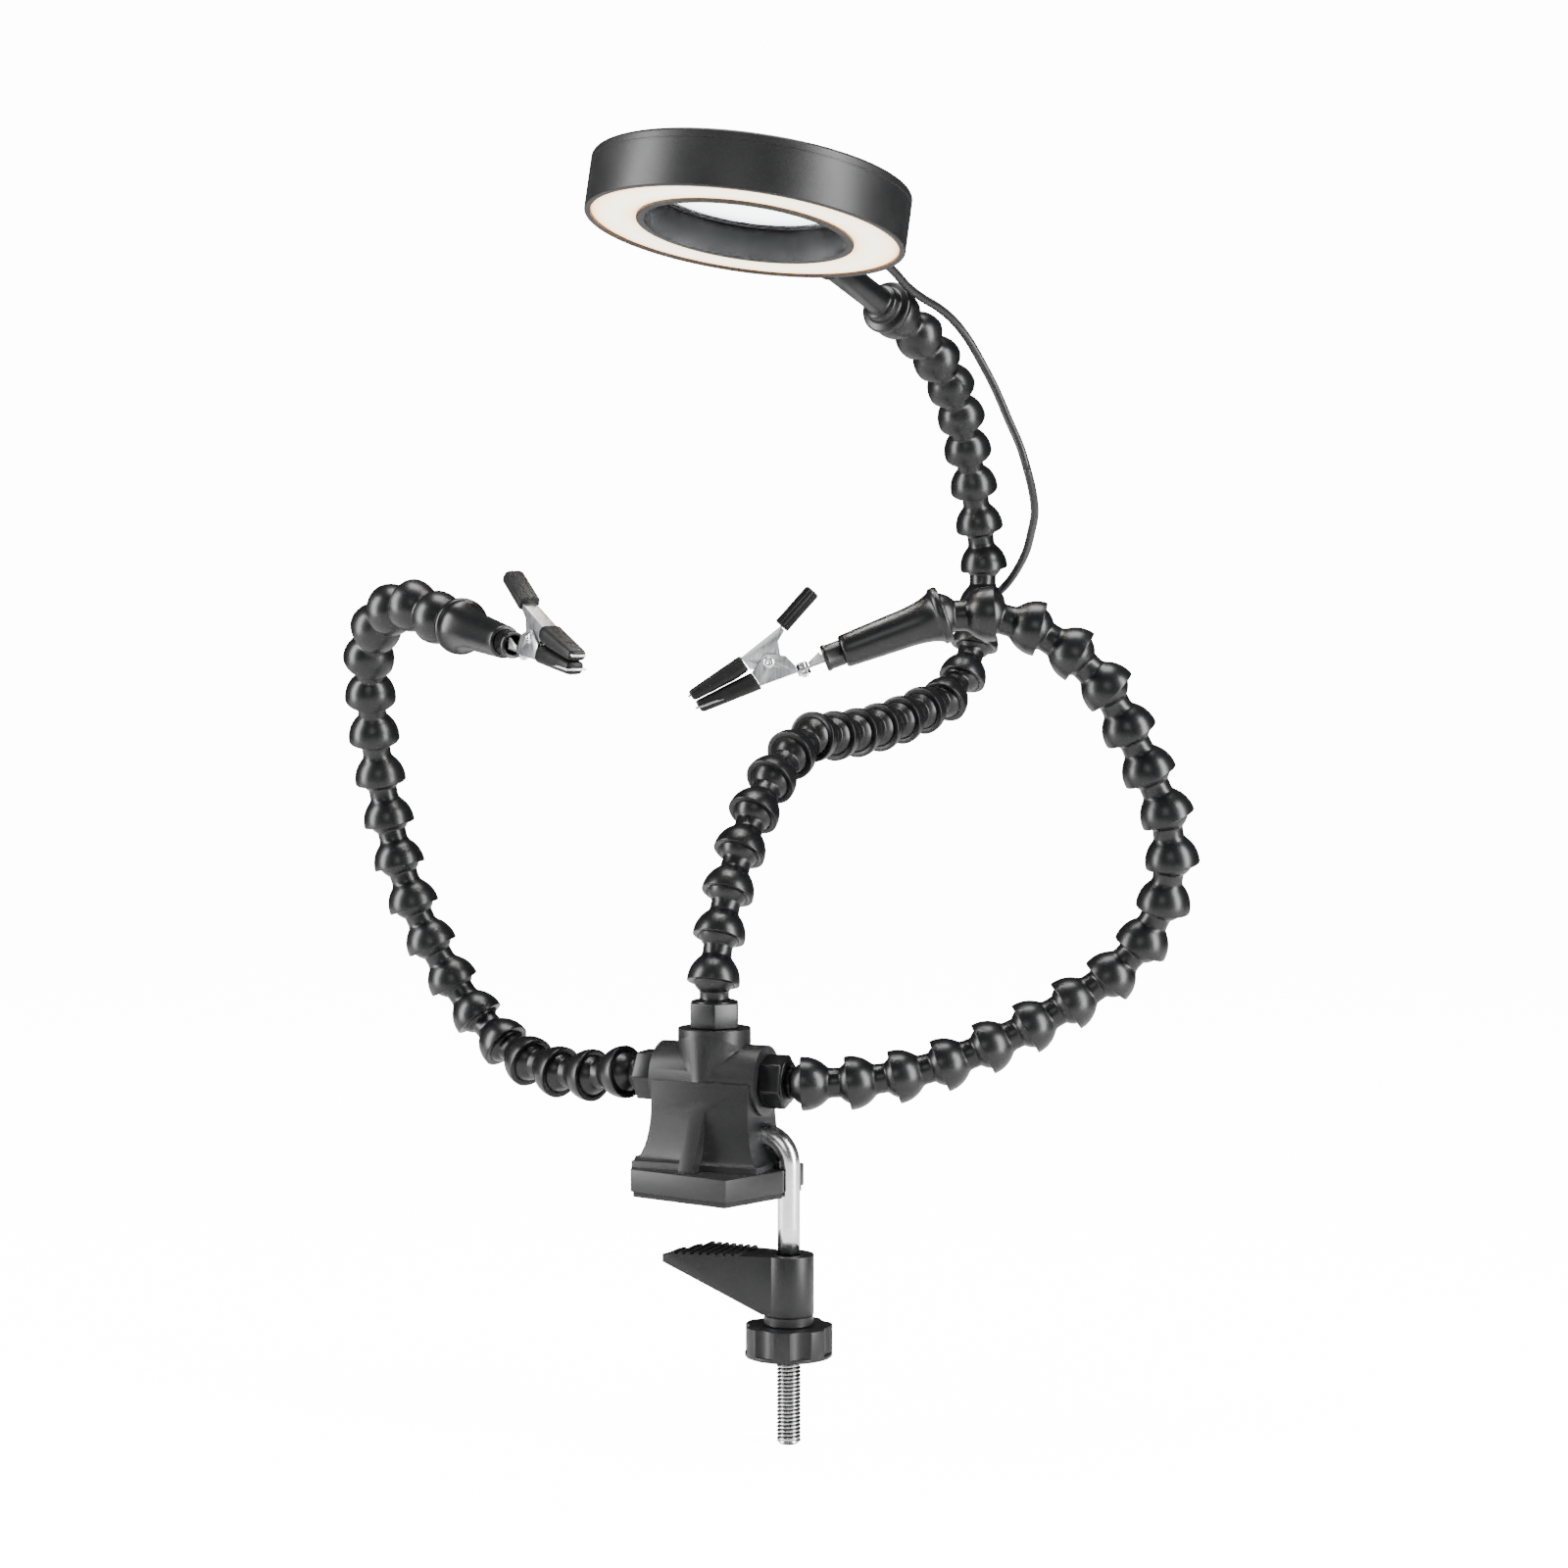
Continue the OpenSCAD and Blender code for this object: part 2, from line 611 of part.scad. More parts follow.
// Free bow between the ring's wall and the hose, from the wall outwards
bow_points = [
  [30, 68, 309], [31, 74, 307], [32, 81, 304.5], [33, 91, 300.5], [34.5, 102, 297.5], [36.5, 113, 295],
  [39, 122, 291], [42, 128.5, 285], [45.5, 133, 277], [49.5, 136, 268], [54, 137.5, 257], [58, 138, 248]
];
bow_return = [
  [60, 140, 240], [60.5, 145, 232], [58.8, 153, 224.5], [54, 163.5, 217.5], [48.5, 174.5, 211],
  [42, 183.5, 204.5], [36, 189, 199], [30.6, 190.8, 195]
];
block_run = [
  [-4, 10.8, 66], [-3, 12.6, 60.5], [-1.4, 13.8, 54], [-0.3, 14.3, 46],
  [0, 14.3, 36], [0, 14.3, 26], [0, 14.3, 18]
];
tail_run = [
  [0, 14.3, 18], [0, 14.3, 14], [0, 14.8, 9], [0, 16.8, 4.6], [0, 20.5, 2.1], [0, 25, 1.5], [0.2, 30, 1.5],
  [0.2, 36, 1.5], [-0.1, 42, 1.5], [-0.7, 47, 1.5], [-1.6, 51.5, 1.5]
];
coil_centre = [-22, 56];
coil_r = 17;
coil_thick = 3 * lead_d;
view_turn = 22.5;
grip_l = 22;
grip_w = 15;
grip_h = 7.4;

module lead_tube(p) { color(plastic) tube(p, lead_d); }
module lead_on_beads_1() { lead_tube(run_beside(0.5, 4.5)); }
module lead_on_beads_2() { lead_tube(run_beside(5.5, 9.5)); }
module lead_on_beads_3() { lead_tube(run_beside(10.5, 14.5)); }
module lead_on_beads_4() {
  lead_tube(concat(run_beside(15.5, 16), [for (i = [len(bow_return) - 1 : -1 : 0]) bow_return[i]]));
}
module lead_bow() { lead_tube(bow_points); }
module lead_on_block() { lead_tube(block_run); }
module lead_tail() { lead_tube(tail_run); }

module lead_coil() {
  round_r = coil_thick / 2 - 1;
  color(plastic) translate([coil_centre[0], coil_centre[1], 0]) rotate_extrude() union() {
    translate([coil_r - coil_thick / 2, lead_d / 2]) square([coil_thick, coil_thick - lead_d]);
    translate([coil_r - coil_thick / 2 + lead_d / 2, 0]) square([coil_thick - lead_d, coil_thick]);
    for (x = [-1, 1], z = [0, 1])
      translate([coil_r + x * (coil_thick - lead_d) / 2,
                 lead_d / 2 + z * (coil_thick - lead_d)]) circle(d = lead_d);
  }
}

// The plug lies on the coil, along the line away from the block
module at_plug() {
  translate([coil_centre[0], coil_centre[1], coil_thick + grip_h / 2 + 0.05])
    rotate(view_turn - 90) children();
}

module usb_grip() {
  color(plastic) at_plug() {
    translate([0, -grip_w / 2, -grip_h / 2]) cube([grip_l, grip_w, grip_h]);
    translate([-8, 0, 0]) rotate([0, 90, 0]) cylinder(r1 = 2.2, r2 = 3, h = 8);
  }
}

module usb_shell() {
  color(steel) at_plug() difference() {
    translate([grip_l, -6, -2.25]) cube([12, 12, 4.5]);
    translate([grip_l + 3, -5.6, -0.1]) cube([12, 11.2, 1.95]);
  }
}

module left_beads(n) { bead_group(left_balls, left_dirs, left_groups, n); }
module right_beads(n) { bead_group(right_balls, right_dirs, right_groups, n); }
module lamp_beads(n) { bead_group(lamp_balls, lamp_dirs, lamp_groups, n); }

base_block();
base_pad();
clamp_rod();
clamp_jaw();
thrust_collar();
hand_wheel();
wheel_nut();
left_connector();
right_connector();
lamp_connector();
left_beads(1);  // left_beads_1
left_beads(2);  // left_beads_2
left_beads(3);  // left_beads_3
left_beads(4);  // left_beads_4
left_beads(5);  // left_beads_5
right_beads(1);  // right_beads_1
right_beads(2);  // right_beads_2
right_beads(3);  // right_beads_3
right_beads(4);  // right_beads_4
right_beads(5);  // right_beads_5
lamp_beads(1);  // lamp_beads_1
lamp_beads(2);  // lamp_beads_2
lamp_beads(3);  // lamp_beads_3
lamp_beads(4);  // lamp_beads_4
lamp_beads(5);  // lamp_beads_5
at_left_clip() clip_holder();  // left_clip_holder
at_left_clip() clip_collar();  // left_clip_collar
at_left_clip() clip_frame();  // left_clip_frame
at_left_clip() clip_jaw_sleeve();  // left_clip_jaw_sleeve
at_left_clip() clip_lever();  // left_clip_lever
at_left_clip() clip_lever_sleeves();  // left_clip_lever_sleeves
at_left_clip() clip_rivet();  // left_clip_rivet
at_left_clip() clip_spring();  // left_clip_spring
at_left_clip() clip_screw();  // left_clip_screw
at_right_clip() clip_holder();  // right_clip_holder
at_right_clip() clip_collar();  // right_clip_collar
at_right_clip() clip_frame();  // right_clip_frame
at_right_clip() clip_jaw_sleeve();  // right_clip_jaw_sleeve
at_right_clip() clip_lever();  // right_clip_lever
at_right_clip() clip_lever_sleeves();  // right_clip_lever_sleeves
at_right_clip() clip_rivet();  // right_clip_rivet
at_right_clip() clip_spring();  // right_clip_spring
at_right_clip() clip_screw();  // right_clip_screw
lamp_stalk();
lamp_housing();
lamp_barrel();
lamp_diffuser();
lamp_lens();
lamp_led_board();
lead_on_beads_1();
lead_on_beads_2();
lead_on_beads_3();
lead_on_beads_4();
lead_bow();
lead_on_block();
lead_tail();
lead_coil();
usb_shell();
usb_grip();
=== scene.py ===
"""Helping hands clamp: the visible model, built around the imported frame.

Metres, Z up, in the CAD frame: the origin lies under the block's axis on the table top.
"""

import json
import math

import bmesh
import bpy
from mathutils import Matrix, Vector

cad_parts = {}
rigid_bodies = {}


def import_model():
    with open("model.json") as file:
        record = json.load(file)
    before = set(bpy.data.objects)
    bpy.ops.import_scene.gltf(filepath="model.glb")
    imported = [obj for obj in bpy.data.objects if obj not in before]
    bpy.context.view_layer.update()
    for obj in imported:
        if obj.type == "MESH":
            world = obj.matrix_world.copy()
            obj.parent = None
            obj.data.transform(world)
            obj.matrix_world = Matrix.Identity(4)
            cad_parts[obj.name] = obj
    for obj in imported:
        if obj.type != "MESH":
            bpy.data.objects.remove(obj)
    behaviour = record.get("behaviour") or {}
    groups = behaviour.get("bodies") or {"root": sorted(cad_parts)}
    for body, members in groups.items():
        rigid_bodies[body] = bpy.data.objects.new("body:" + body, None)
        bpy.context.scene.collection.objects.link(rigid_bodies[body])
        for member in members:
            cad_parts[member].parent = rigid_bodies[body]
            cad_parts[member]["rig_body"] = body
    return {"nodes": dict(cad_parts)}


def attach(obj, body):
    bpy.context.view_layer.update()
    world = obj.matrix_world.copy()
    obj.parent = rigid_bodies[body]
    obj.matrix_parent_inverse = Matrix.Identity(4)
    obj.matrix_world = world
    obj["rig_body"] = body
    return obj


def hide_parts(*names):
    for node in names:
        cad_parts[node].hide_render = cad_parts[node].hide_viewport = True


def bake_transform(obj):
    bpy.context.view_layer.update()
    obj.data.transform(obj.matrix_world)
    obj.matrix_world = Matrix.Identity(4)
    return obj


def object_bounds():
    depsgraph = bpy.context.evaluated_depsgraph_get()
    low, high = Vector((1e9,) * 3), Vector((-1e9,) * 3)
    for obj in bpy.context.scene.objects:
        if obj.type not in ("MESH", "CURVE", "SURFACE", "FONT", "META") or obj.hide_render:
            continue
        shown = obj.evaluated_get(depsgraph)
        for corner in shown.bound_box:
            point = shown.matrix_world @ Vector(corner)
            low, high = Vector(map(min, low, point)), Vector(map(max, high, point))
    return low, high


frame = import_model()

MM = 0.001
CAD_LOW_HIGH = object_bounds()

VIEW_AZIMUTH = 22.5
VIEW_ELEVATION = 3.0
VIEW_DISTANCE = 1.061
VIEW_TARGET = Vector((0.021, 0.0086, 0.133))
LENS_MM = 75
BACKDROP_LEVEL = 14.0
AMBIENT_LEVEL = 0.07
FLOOR_R = 2.4
FLOOR_GAP = 0.0005

# Beads, in millimetres; the socket, neck and skirt differ a little from the CAD's
PITCH = 15.0
BEAD_R = 8.75
BALL_R = 7.4
PASSAGE_R = 2.6
SOCKET_R = 7.5
NECK_R = 4.85
RIM_DROP = 2.5
SKIRT_DROP = 3.2
BEAD_SIDES = 44

# Sizes shared with the CAD, in millimetres
THREAD_R = 4.0
THREAD_PITCH = 1.25
LEAD_D = 3.0
LEAD_GAP = 10.6
RING_R = 52.5
RING_H = 18.5
BARREL_R = 35.5
LENS_R = 31.0
LAMP_REACH = 98.0
SIDE_BALL_X = 34
SIDE_BALL_Z = 37
LAMP_BALL_Z = 71


# ---- Helpers ----


def mm(*values):
    """A point given in millimetres, in metres."""
    return Vector(values) * MM


def add_object(name, data):
    piece = bpy.data.objects.new(name, data)
    bpy.context.scene.collection.objects.link(piece)
    return piece


def mesh_piece(name, verts, faces, body, material, smooth=True, stands_for=(), slot=None):
    """A mesh piece that rides on a body and stands for CAD nodes."""
    data = bpy.data.meshes.new(name)
    data.from_pydata([tuple(v) for v in verts], [], faces)
    data.update()
    if smooth:
        data.polygons.foreach_set("use_smooth", [True] * len(data.polygons))
    piece = add_object(name, data)
    data.materials.append(material)
    dress(piece, body, stands_for)
    return piece


def dress(piece, body, stands_for=()):
    if body:
        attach(piece, body)
    if stands_for:
        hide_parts(*stands_for)
    return piece


def lathe(profile, segments=48, place=Matrix.Identity(4)):
    """Vertices and faces of a profile of (radius, height) in mm, turned about Z."""
    verts, faces, rings = [], [], []
    for radius, height in profile:
        if radius < 1e-6:
            rings.append([len(verts)])
            verts.append(place @ mm(0, 0, height))
            continue
        rings.append(list(range(len(verts), len(verts) + segments)))
        for k in range(segments):
            a = 2 * math.pi * k / segments
            verts.append(place @ mm(radius * math.cos(a), radius * math.sin(a), height))
    for low, high in zip(rings, rings[1:]):
        for k in range(segments):
            m = (k + 1) % segments
            if len(low) == 1 and len(high) == 1:
                continue
            if len(low) == 1:
                faces.append((low[0], high[m], high[k]))
            elif len(high) == 1:
                faces.append((low[k], low[m], high[0]))
            else:
                faces.append((low[k], low[m], high[m], high[k]))
    return verts, faces


def joined(parts):
    """Several (verts, faces) lists as one."""
    verts, faces = [], []
    for v, f in parts:
        shift = len(verts)
        verts += v
        faces += [tuple(i + shift for i in face) for face in f]
    return verts, faces


def arc(cx, cy, r, start, end, steps):
    """Points of an arc in a profile, angles in degrees from the outward direction."""
    out = []
    for k in range(steps + 1):
        a = math.radians(start + (end - start) * k / steps)
        out.append((cx + r * math.cos(a), cy + r * math.sin(a)))
    return out


def catmull(points, per_span=6):
    """A smooth line through the points."""
    pts = [Vector(p) for p in points]
    pts = [2 * pts[0] - pts[1]] + pts + [2 * pts[-1] - pts[-2]]
    out = []
    for i in range(1, len(pts) - 2):
        p0, p1, p2, p3 = pts[i - 1:i + 3]
        for k in range(per_span):
            t = k / per_span
            out.append(0.5 * (2 * p1 + (p2 - p0) * t + (2 * p0 - 5 * p1 + 4 * p2 - p3) * t * t
                              + (3 * p1 - p0 - 3 * p2 + p3) * t * t * t))
    out.append(pts[-2].copy())
    return out


def tube(points, radius, sides=12):
    """Closed tube along points in metres; radius in mm, one value or one for each point."""
    n = len(points)
    radii = radius if isinstance(radius, list) else [radius] * n
    verts, faces = [], []
    normal = None
    for i, p in enumerate(points):
        along = (points[min(i + 1, n - 1)] - points[max(i - 1, 0)]).normalized()
        if normal is None:
            normal = along.orthogonal().normalized()
        normal = (normal - along * normal.dot(along)).normalized()
        across = along.cross(normal)
        for k in range(sides):
            a = 2 * math.pi * k / sides
            verts.append(p + (normal * math.cos(a) + across * math.sin(a)) * radii[i] * MM)
    for i in range(n - 1):
        for k in range(sides):
            m = (k + 1) % sides
            faces.append((i * sides + k, i * sides + m, (i + 1) * sides + m, (i + 1) * sides + k))
    faces.append(tuple(range(sides - 1, -1, -1)))
    faces.append(tuple(range((n - 1) * sides, n * sides)))
    return verts, faces


def smooth_by_angle(piece, degrees=35):
    """Smooth shading that keeps creases sharper than the angle."""
    data = piece.data
    bm = bmesh.new()
    bm.from_mesh(data)
    limit = math.radians(degrees)
    for face in bm.faces:
        face.smooth = True
    for edge in bm.edges:
        edge.smooth = edge.is_manifold and edge.calc_face_angle(0) < limit
    bm.to_mesh(data)
    bm.free()


def softened(node, name, material, width, segments=2, angle=30, dissolve=2.0):
    """A copy of a CAD node with its sharp edges rounded, which stands for it."""
    data = frame["nodes"][node].data.copy()
    data.name = name
    data.materials.clear()
    data.materials.append(material)
    bm = bmesh.new()
    bm.from_mesh(data)
    bmesh.ops.remove_doubles(bm, verts=bm.verts, dist=2e-6)
    bmesh.ops.dissolve_limit(bm, angle_limit=math.radians(dissolve), verts=bm.verts, edges=bm.edges)
    bmesh.ops.recalc_face_normals(bm, faces=bm.faces)
    bm.to_mesh(data)
    bm.free()
    piece = add_object(name, data)
    bevel = piece.modifiers.new("round", "BEVEL")
    bevel.width = width * MM
    bevel.segments = segments
    bevel.limit_method = "ANGLE"
    bevel.angle_limit = math.radians(angle)
    bevel.harden_normals = False
    bevel.use_clamp_overlap = True
    bpy.context.view_layer.objects.active = piece
    with bpy.context.temp_override(object=piece, active_object=piece, selected_objects=[piece]):
        bpy.ops.object.modifier_apply(modifier=bevel.name)
    smooth_by_angle(piece)
    body = frame["nodes"][node]["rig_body"]
    return dress(piece, body, (node,))


# ---- Materials ----


def new_material(name, color, roughness, metallic=0.0, specular=0.5):
    material = bpy.data.materials.new(name)
    material.use_nodes = True
    shader = material.node_tree.nodes["Principled BSDF"]
    shader.inputs["Base Color"].default_value = (*color, 1)
    shader.inputs["Roughness"].default_value = roughness
    shader.inputs["Metallic"].default_value = metallic
    shader.inputs["Specular IOR Level"].default_value = specular
    return material, shader


def link_noise(material, shader, scale, low, high, socket="Roughness", detail=4.0, stretch=None):
    """Noise in object space, spread between two values, into a socket."""
    tree = material.node_tree
    place = tree.nodes.new("ShaderNodeTexCoord")
    noise = tree.nodes.new("ShaderNodeTexNoise")
    noise.inputs["Scale"].default_value = scale
    noise.inputs["Detail"].default_value = detail
    source = place.outputs["Object"]
    if stretch:
        mapping = tree.nodes.new("ShaderNodeMapping")
        mapping.inputs["Scale"].default_value = stretch
        tree.links.new(source, mapping.inputs["Vector"])
        source = mapping.outputs["Vector"]
    tree.links.new(source, noise.inputs["Vector"])
    spread = tree.nodes.new("ShaderNodeMapRange")
    spread.inputs["To Min"].default_value = low
    spread.inputs["To Max"].default_value = high
    tree.links.new(noise.outputs["Fac"], spread.inputs["Value"])
    if socket:
        tree.links.new(spread.outputs["Result"], shader.inputs[socket])
    return noise


def link_bump(material, shader, noise, strength, distance):
    bump = material.node_tree.nodes.new("ShaderNodeBump")
    bump.inputs["Strength"].default_value = strength
    bump.inputs["Distance"].default_value = distance
    material.node_tree.links.new(noise.outputs["Fac"], bump.inputs["Height"])
    material.node_tree.links.new(bump.outputs["Normal"], shader.inputs["Normal"])
    return bump


def link_colors(material, shader, noise, dark, light):
    ramp = material.node_tree.nodes.new("ShaderNodeValToRGB")
    ramp.color_ramp.elements[0].color = (*dark, 1)
    ramp.color_ramp.elements[1].color = (*light, 1)
    ramp.color_ramp.elements[0].position = 0.3
    ramp.color_ramp.elements[1].position = 0.7
    material.node_tree.links.new(noise.outputs["Fac"], ramp.inputs["Fac"])
    material.node_tree.links.new(ramp.outputs["Color"], shader.inputs["Base Color"])


def gloss_plastic():
    """Polished moulded plastic of the hose beads, with faint flow marks."""
    material, shader = new_material("gloss_black_plastic", (0.004, 0.004, 0.0045), 0.3, specular=0.4)
    flow = link_noise(material, shader, 35, 0.29, 0.35, detail=2)
    link_colors(material, shader, flow, (0.003, 0.003, 0.0035), (0.005, 0.005, 0.0055))
    return material


def satin_plastic():
    """Fine spark-eroded texture of the block, jaw, wheel and lamp housing."""
    material, shader = new_material("matte_black_plastic", (0.007, 0.007, 0.0075), 0.42, specular=0.4)
    cloud = link_noise(material, shader, 60, 0.36, 0.48)
    link_colors(material, shader, cloud, (0.005, 0.005, 0.0055), (0.01, 0.01, 0.0105))
    grain = link_noise(material, shader, 2600, 0, 1, socket=None, detail=3)
    link_bump(material, shader, grain, 0.16, 0.0002)
    return material


def rubber():
    material, shader = new_material("black_rubber", (0.02, 0.02, 0.02), 0.8, specular=0.25)
    grain = link_noise(material, shader, 1500, 0.7, 0.9)
    link_bump(material, shader, grain, 0.3, 0.0003)
    return material


def sleeve_vinyl():
    material, shader = new_material("soft_black_sleeve", (0.006, 0.006, 0.006), 0.45, specular=0.22)
    grain = link_noise(material, shader, 300, 0.4, 0.5, detail=2)
    link_colors(material, shader, grain, (0.005, 0.005, 0.005), (0.008, 0.008, 0.008))
    link_bump(material, shader, grain, 0.05, 0.0002)
    return material


def lead_jacket():
    material, shader = new_material("lead_jacket", (0.012, 0.012, 0.012), 0.4, specular=0.4)
    grain = link_noise(material, shader, 700, 0.32, 0.46)
    link_bump(material, shader, grain, 0.1, 0.0002)
    return material


def bright_steel():
    """Nickel-plated steel with fine turning marks."""
    material, shader = new_material("bright_steel", (0.78, 0.78, 0.79), 0.2, metallic=1)
    marks = link_noise(material, shader, 300, 0.14, 0.3, stretch=(1, 1, 6))
    link_colors(material, shader, marks, (0.7, 0.7, 0.71), (0.84, 0.84, 0.85))
    link_bump(material, shader, marks, 0.05, 0.0002)
    return material


def thread_steel():
    """Rolled thread with painted shade in its roots: nearly black down in each root, the steel's own bright
    colour on the crests; the texture runs from root to crest.
    """
    material, shader = new_material("thread_steel", (0.7, 0.7, 0.71), 0.25, metallic=1)
    tree = material.node_tree
    place = tree.nodes.new("ShaderNodeTexCoord")
    split = tree.nodes.new("ShaderNodeSeparateXYZ")
    tree.links.new(place.outputs["UV"], split.inputs["Vector"])
    # painted shade: the base colour goes nearly black towards each thread root and back to the steel's colour
    # at the crest
    ramp = tree.nodes.new("ShaderNodeValToRGB")
    ramp.color_ramp.elements[0].position = 0.25
    ramp.color_ramp.elements[0].color = (0.05, 0.05, 0.052, 1)
    ramp.color_ramp.elements[1].position = 0.85
    ramp.color_ramp.elements[1].color = (0.8, 0.8, 0.81, 1)
    tree.links.new(split.outputs["X"], ramp.inputs["Fac"])
    tree.links.new(ramp.outputs["Color"], shader.inputs["Base Color"])
    link_noise(material, shader, 300, 0.2, 0.34)
    return material


def clip_steel():
    """Stamped and plated sheet steel, brushed by the rolling."""
    material, shader = new_material("clip_steel", (0.6, 0.61, 0.62), 0.32, metallic=1)
    marks = link_noise(material, shader, 260, 0.26, 0.42, stretch=(5, 1, 1))
    link_colors(material, shader, marks, (0.44, 0.45, 0.46), (0.6, 0.61, 0.62))
    link_bump(material, shader, marks, 0.12, 0.0002)
    return material


def spring_steel():
    material, shader = new_material("spring_steel", (0.42, 0.42, 0.44), 0.3, metallic=1)
    link_noise(material, shader, 900, 0.22, 0.4)
    return material


def brass():
    material, shader = new_material("brass", (0.78, 0.6, 0.3), 0.28, metallic=1)
    link_noise(material, shader, 500, 0.2, 0.36)
    return material


def diffuser():
    """Frosted white plastic lit from behind: warm towards its rims, nearly white between."""
    material, shader = new_material("diffuser_white", (0.95, 0.9, 0.8), 0.5, specular=0.3)
    tree = material.node_tree
    place = tree.nodes.new("ShaderNodeTexCoord")
    split = tree.nodes.new("ShaderNodeSeparateXYZ")
    tree.links.new(place.outputs["UV"], split.inputs["Vector"])
    ramp = tree.nodes.new("ShaderNodeValToRGB")
    stops = [(0.0, (1.0, 0.5, 0.14)), (0.18, (1.0, 0.76, 0.4)), (0.5, (1.0, 0.93, 0.74)),
             (0.82, (1.0, 0.72, 0.36)), (1.0, (1.0, 0.46, 0.12))]
    ramp.color_ramp.elements[0].position = stops[0][0]
    ramp.color_ramp.elements[0].color = (*stops[0][1], 1)
    ramp.color_ramp.elements[1].position = stops[-1][0]
    ramp.color_ramp.elements[1].color = (*stops[-1][1], 1)
    for position, color in stops[1:-1]:
        element = ramp.color_ramp.elements.new(position)
        element.color = (*color, 1)
    tree.links.new(split.outputs["X"], ramp.inputs["Fac"])
    tree.links.new(ramp.outputs["Color"], shader.inputs["Emission Color"])
    shader.inputs["Emission Strength"].default_value = 3.0
    return material


def lens_glass():
    material, shader = new_material("lens_glass", (0.93, 0.97, 1.0), 0.02, specular=0.5)
    shader.inputs["Transmission Weight"].default_value = 1.0
    shader.inputs["IOR"].default_value = 1.5
    link_noise(material, shader, 30, 0.01, 0.04)
    return material


def board_white():
    material, shader = new_material("board_white", (0.85, 0.85, 0.82), 0.5)
    link_noise(material, shader, 400, 0.4, 0.6)
    return material


def floor_material():
    """Pale matt paper that fades out far from the object, with no edge to be seen."""
    material, shader = new_material("pale_floor", (0.9, 0.9, 0.9), 0.9, specular=0.1)
    tree = material.node_tree
    place = tree.nodes.new("ShaderNodeTexCoord")
    length = tree.nodes.new("ShaderNodeVectorMath")
    length.operation = "LENGTH"
    fade = tree.nodes.new("ShaderNodeMapRange")
    fade.inputs["From Min"].default_value = 0.6
    fade.inputs["From Max"].default_value = 2.2
    fade.inputs["To Min"].default_value = 1.0
    fade.inputs["To Max"].default_value = 0.0
    tree.links.new(place.outputs["Object"], length.inputs[0])
    tree.links.new(length.outputs["Value"], fade.inputs["Value"])
    tree.links.new(fade.outputs["Result"], shader.inputs["Alpha"])
    path = tree.nodes.new("ShaderNodeLightPath")
    glow = tree.nodes.new("ShaderNodeMapRange")
    glow.inputs["To Min"].default_value = 0.1
    glow.inputs["To Max"].default_value = BACKDROP_LEVEL
    tree.links.new(path.outputs["Is Camera Ray"], glow.inputs["Value"])
    tree.links.new(glow.outputs["Result"], shader.inputs["Emission Strength"])
    shader.inputs["Emission Color"].default_value = (1, 1, 1, 1)
    return material


GLOSS = gloss_plastic()
SATIN = satin_plastic()
RUBBER = rubber()
SLEEVE = sleeve_vinyl()
JACKET = lead_jacket()
BRIGHT = bright_steel()
THREAD = thread_steel()
CLIP = clip_steel()
SPRING = spring_steel()
BRASS = brass()
DIFFUSER = diffuser()
GLASS = lens_glass()
BOARD = board_white()


# ---- Camera, light and floor ----


def make_camera():
    azimuth, elevation = math.radians(VIEW_AZIMUTH), math.radians(VIEW_ELEVATION)
    out = Vector((math.sin(azimuth) * math.cos(elevation), -math.cos(azimuth) * math.cos(elevation),
                  math.sin(elevation)))
    data = bpy.data.cameras.new("camera")
    data.lens = LENS_MM
    data.sensor_width = 36
    camera = add_object("camera", data)
    camera.location = VIEW_TARGET + out * VIEW_DISTANCE
    camera.rotation_euler = (-out).to_track_quat("-Z", "Y").to_euler()
    bpy.context.scene.camera = camera


def area_light(name, place, aim, size, power):
    data = bpy.data.lights.new(name, "AREA")
    data.shape = "RECTANGLE"
    data.size, data.size_y = size
    data.energy = power
    light = add_object(name, data)
    light.location = place
    light.rotation_euler = (Vector(aim) - Vector(place)).to_track_quat("-Z", "Y").to_euler()


def make_lights():
    """Tall softboxes left and right draw the two long highlights on every bead."""
    middle = (0.02, 0.03, 0.15)
    area_light("left_softbox", (-0.95, -0.6, 0.4), middle, (0.35, 1.3), 34)
    area_light("right_softbox", (1.1, -0.1, 0.4), middle, (0.35, 1.3), 38)
    area_light("top_softbox", (0.0, 0.1, 1.3), middle, (0.7, 0.6), 18)
    area_light("front_fill", (0.35, -1.3, 0.6), middle, (0.5, 0.5), 3)


def make_world():
    """White to the camera and through the lens, nearly dark to everything else."""
    world = bpy.data.worlds.new("studio")
    bpy.context.scene.world = world
    world.use_nodes = True
    tree = world.node_tree
    shade = tree.nodes["Background"]
    shade.inputs["Color"].default_value = (1, 1, 1, 1)
    path = tree.nodes.new("ShaderNodeLightPath")
    seen = tree.nodes.new("ShaderNodeMath")
    seen.operation = "MAXIMUM"
    level = tree.nodes.new("ShaderNodeMapRange")
    level.inputs["To Min"].default_value = AMBIENT_LEVEL
    level.inputs["To Max"].default_value = BACKDROP_LEVEL
    tree.links.new(path.outputs["Is Camera Ray"], seen.inputs[0])
    tree.links.new(path.outputs["Is Transmission Ray"], seen.inputs[1])
    tree.links.new(seen.outputs["Value"], level.inputs["Value"])
    tree.links.new(level.outputs["Result"], shade.inputs["Strength"])


def make_floor():
    disc = bmesh.new()
    bmesh.ops.create_circle(disc, cap_ends=True, segments=96, radius=FLOOR_R)
    data = bpy.data.meshes.new("floor")
    disc.to_mesh(data)
    disc.free()
    floor = add_object("floor", data)
    floor.location = (0, 0, CAD_LOW_HIGH[0][2] - FLOOR_GAP)
    data.materials.append(floor_material())


make_camera()
make_lights()
make_world()
make_floor()


# ---- Hoses: where every ball lies ----

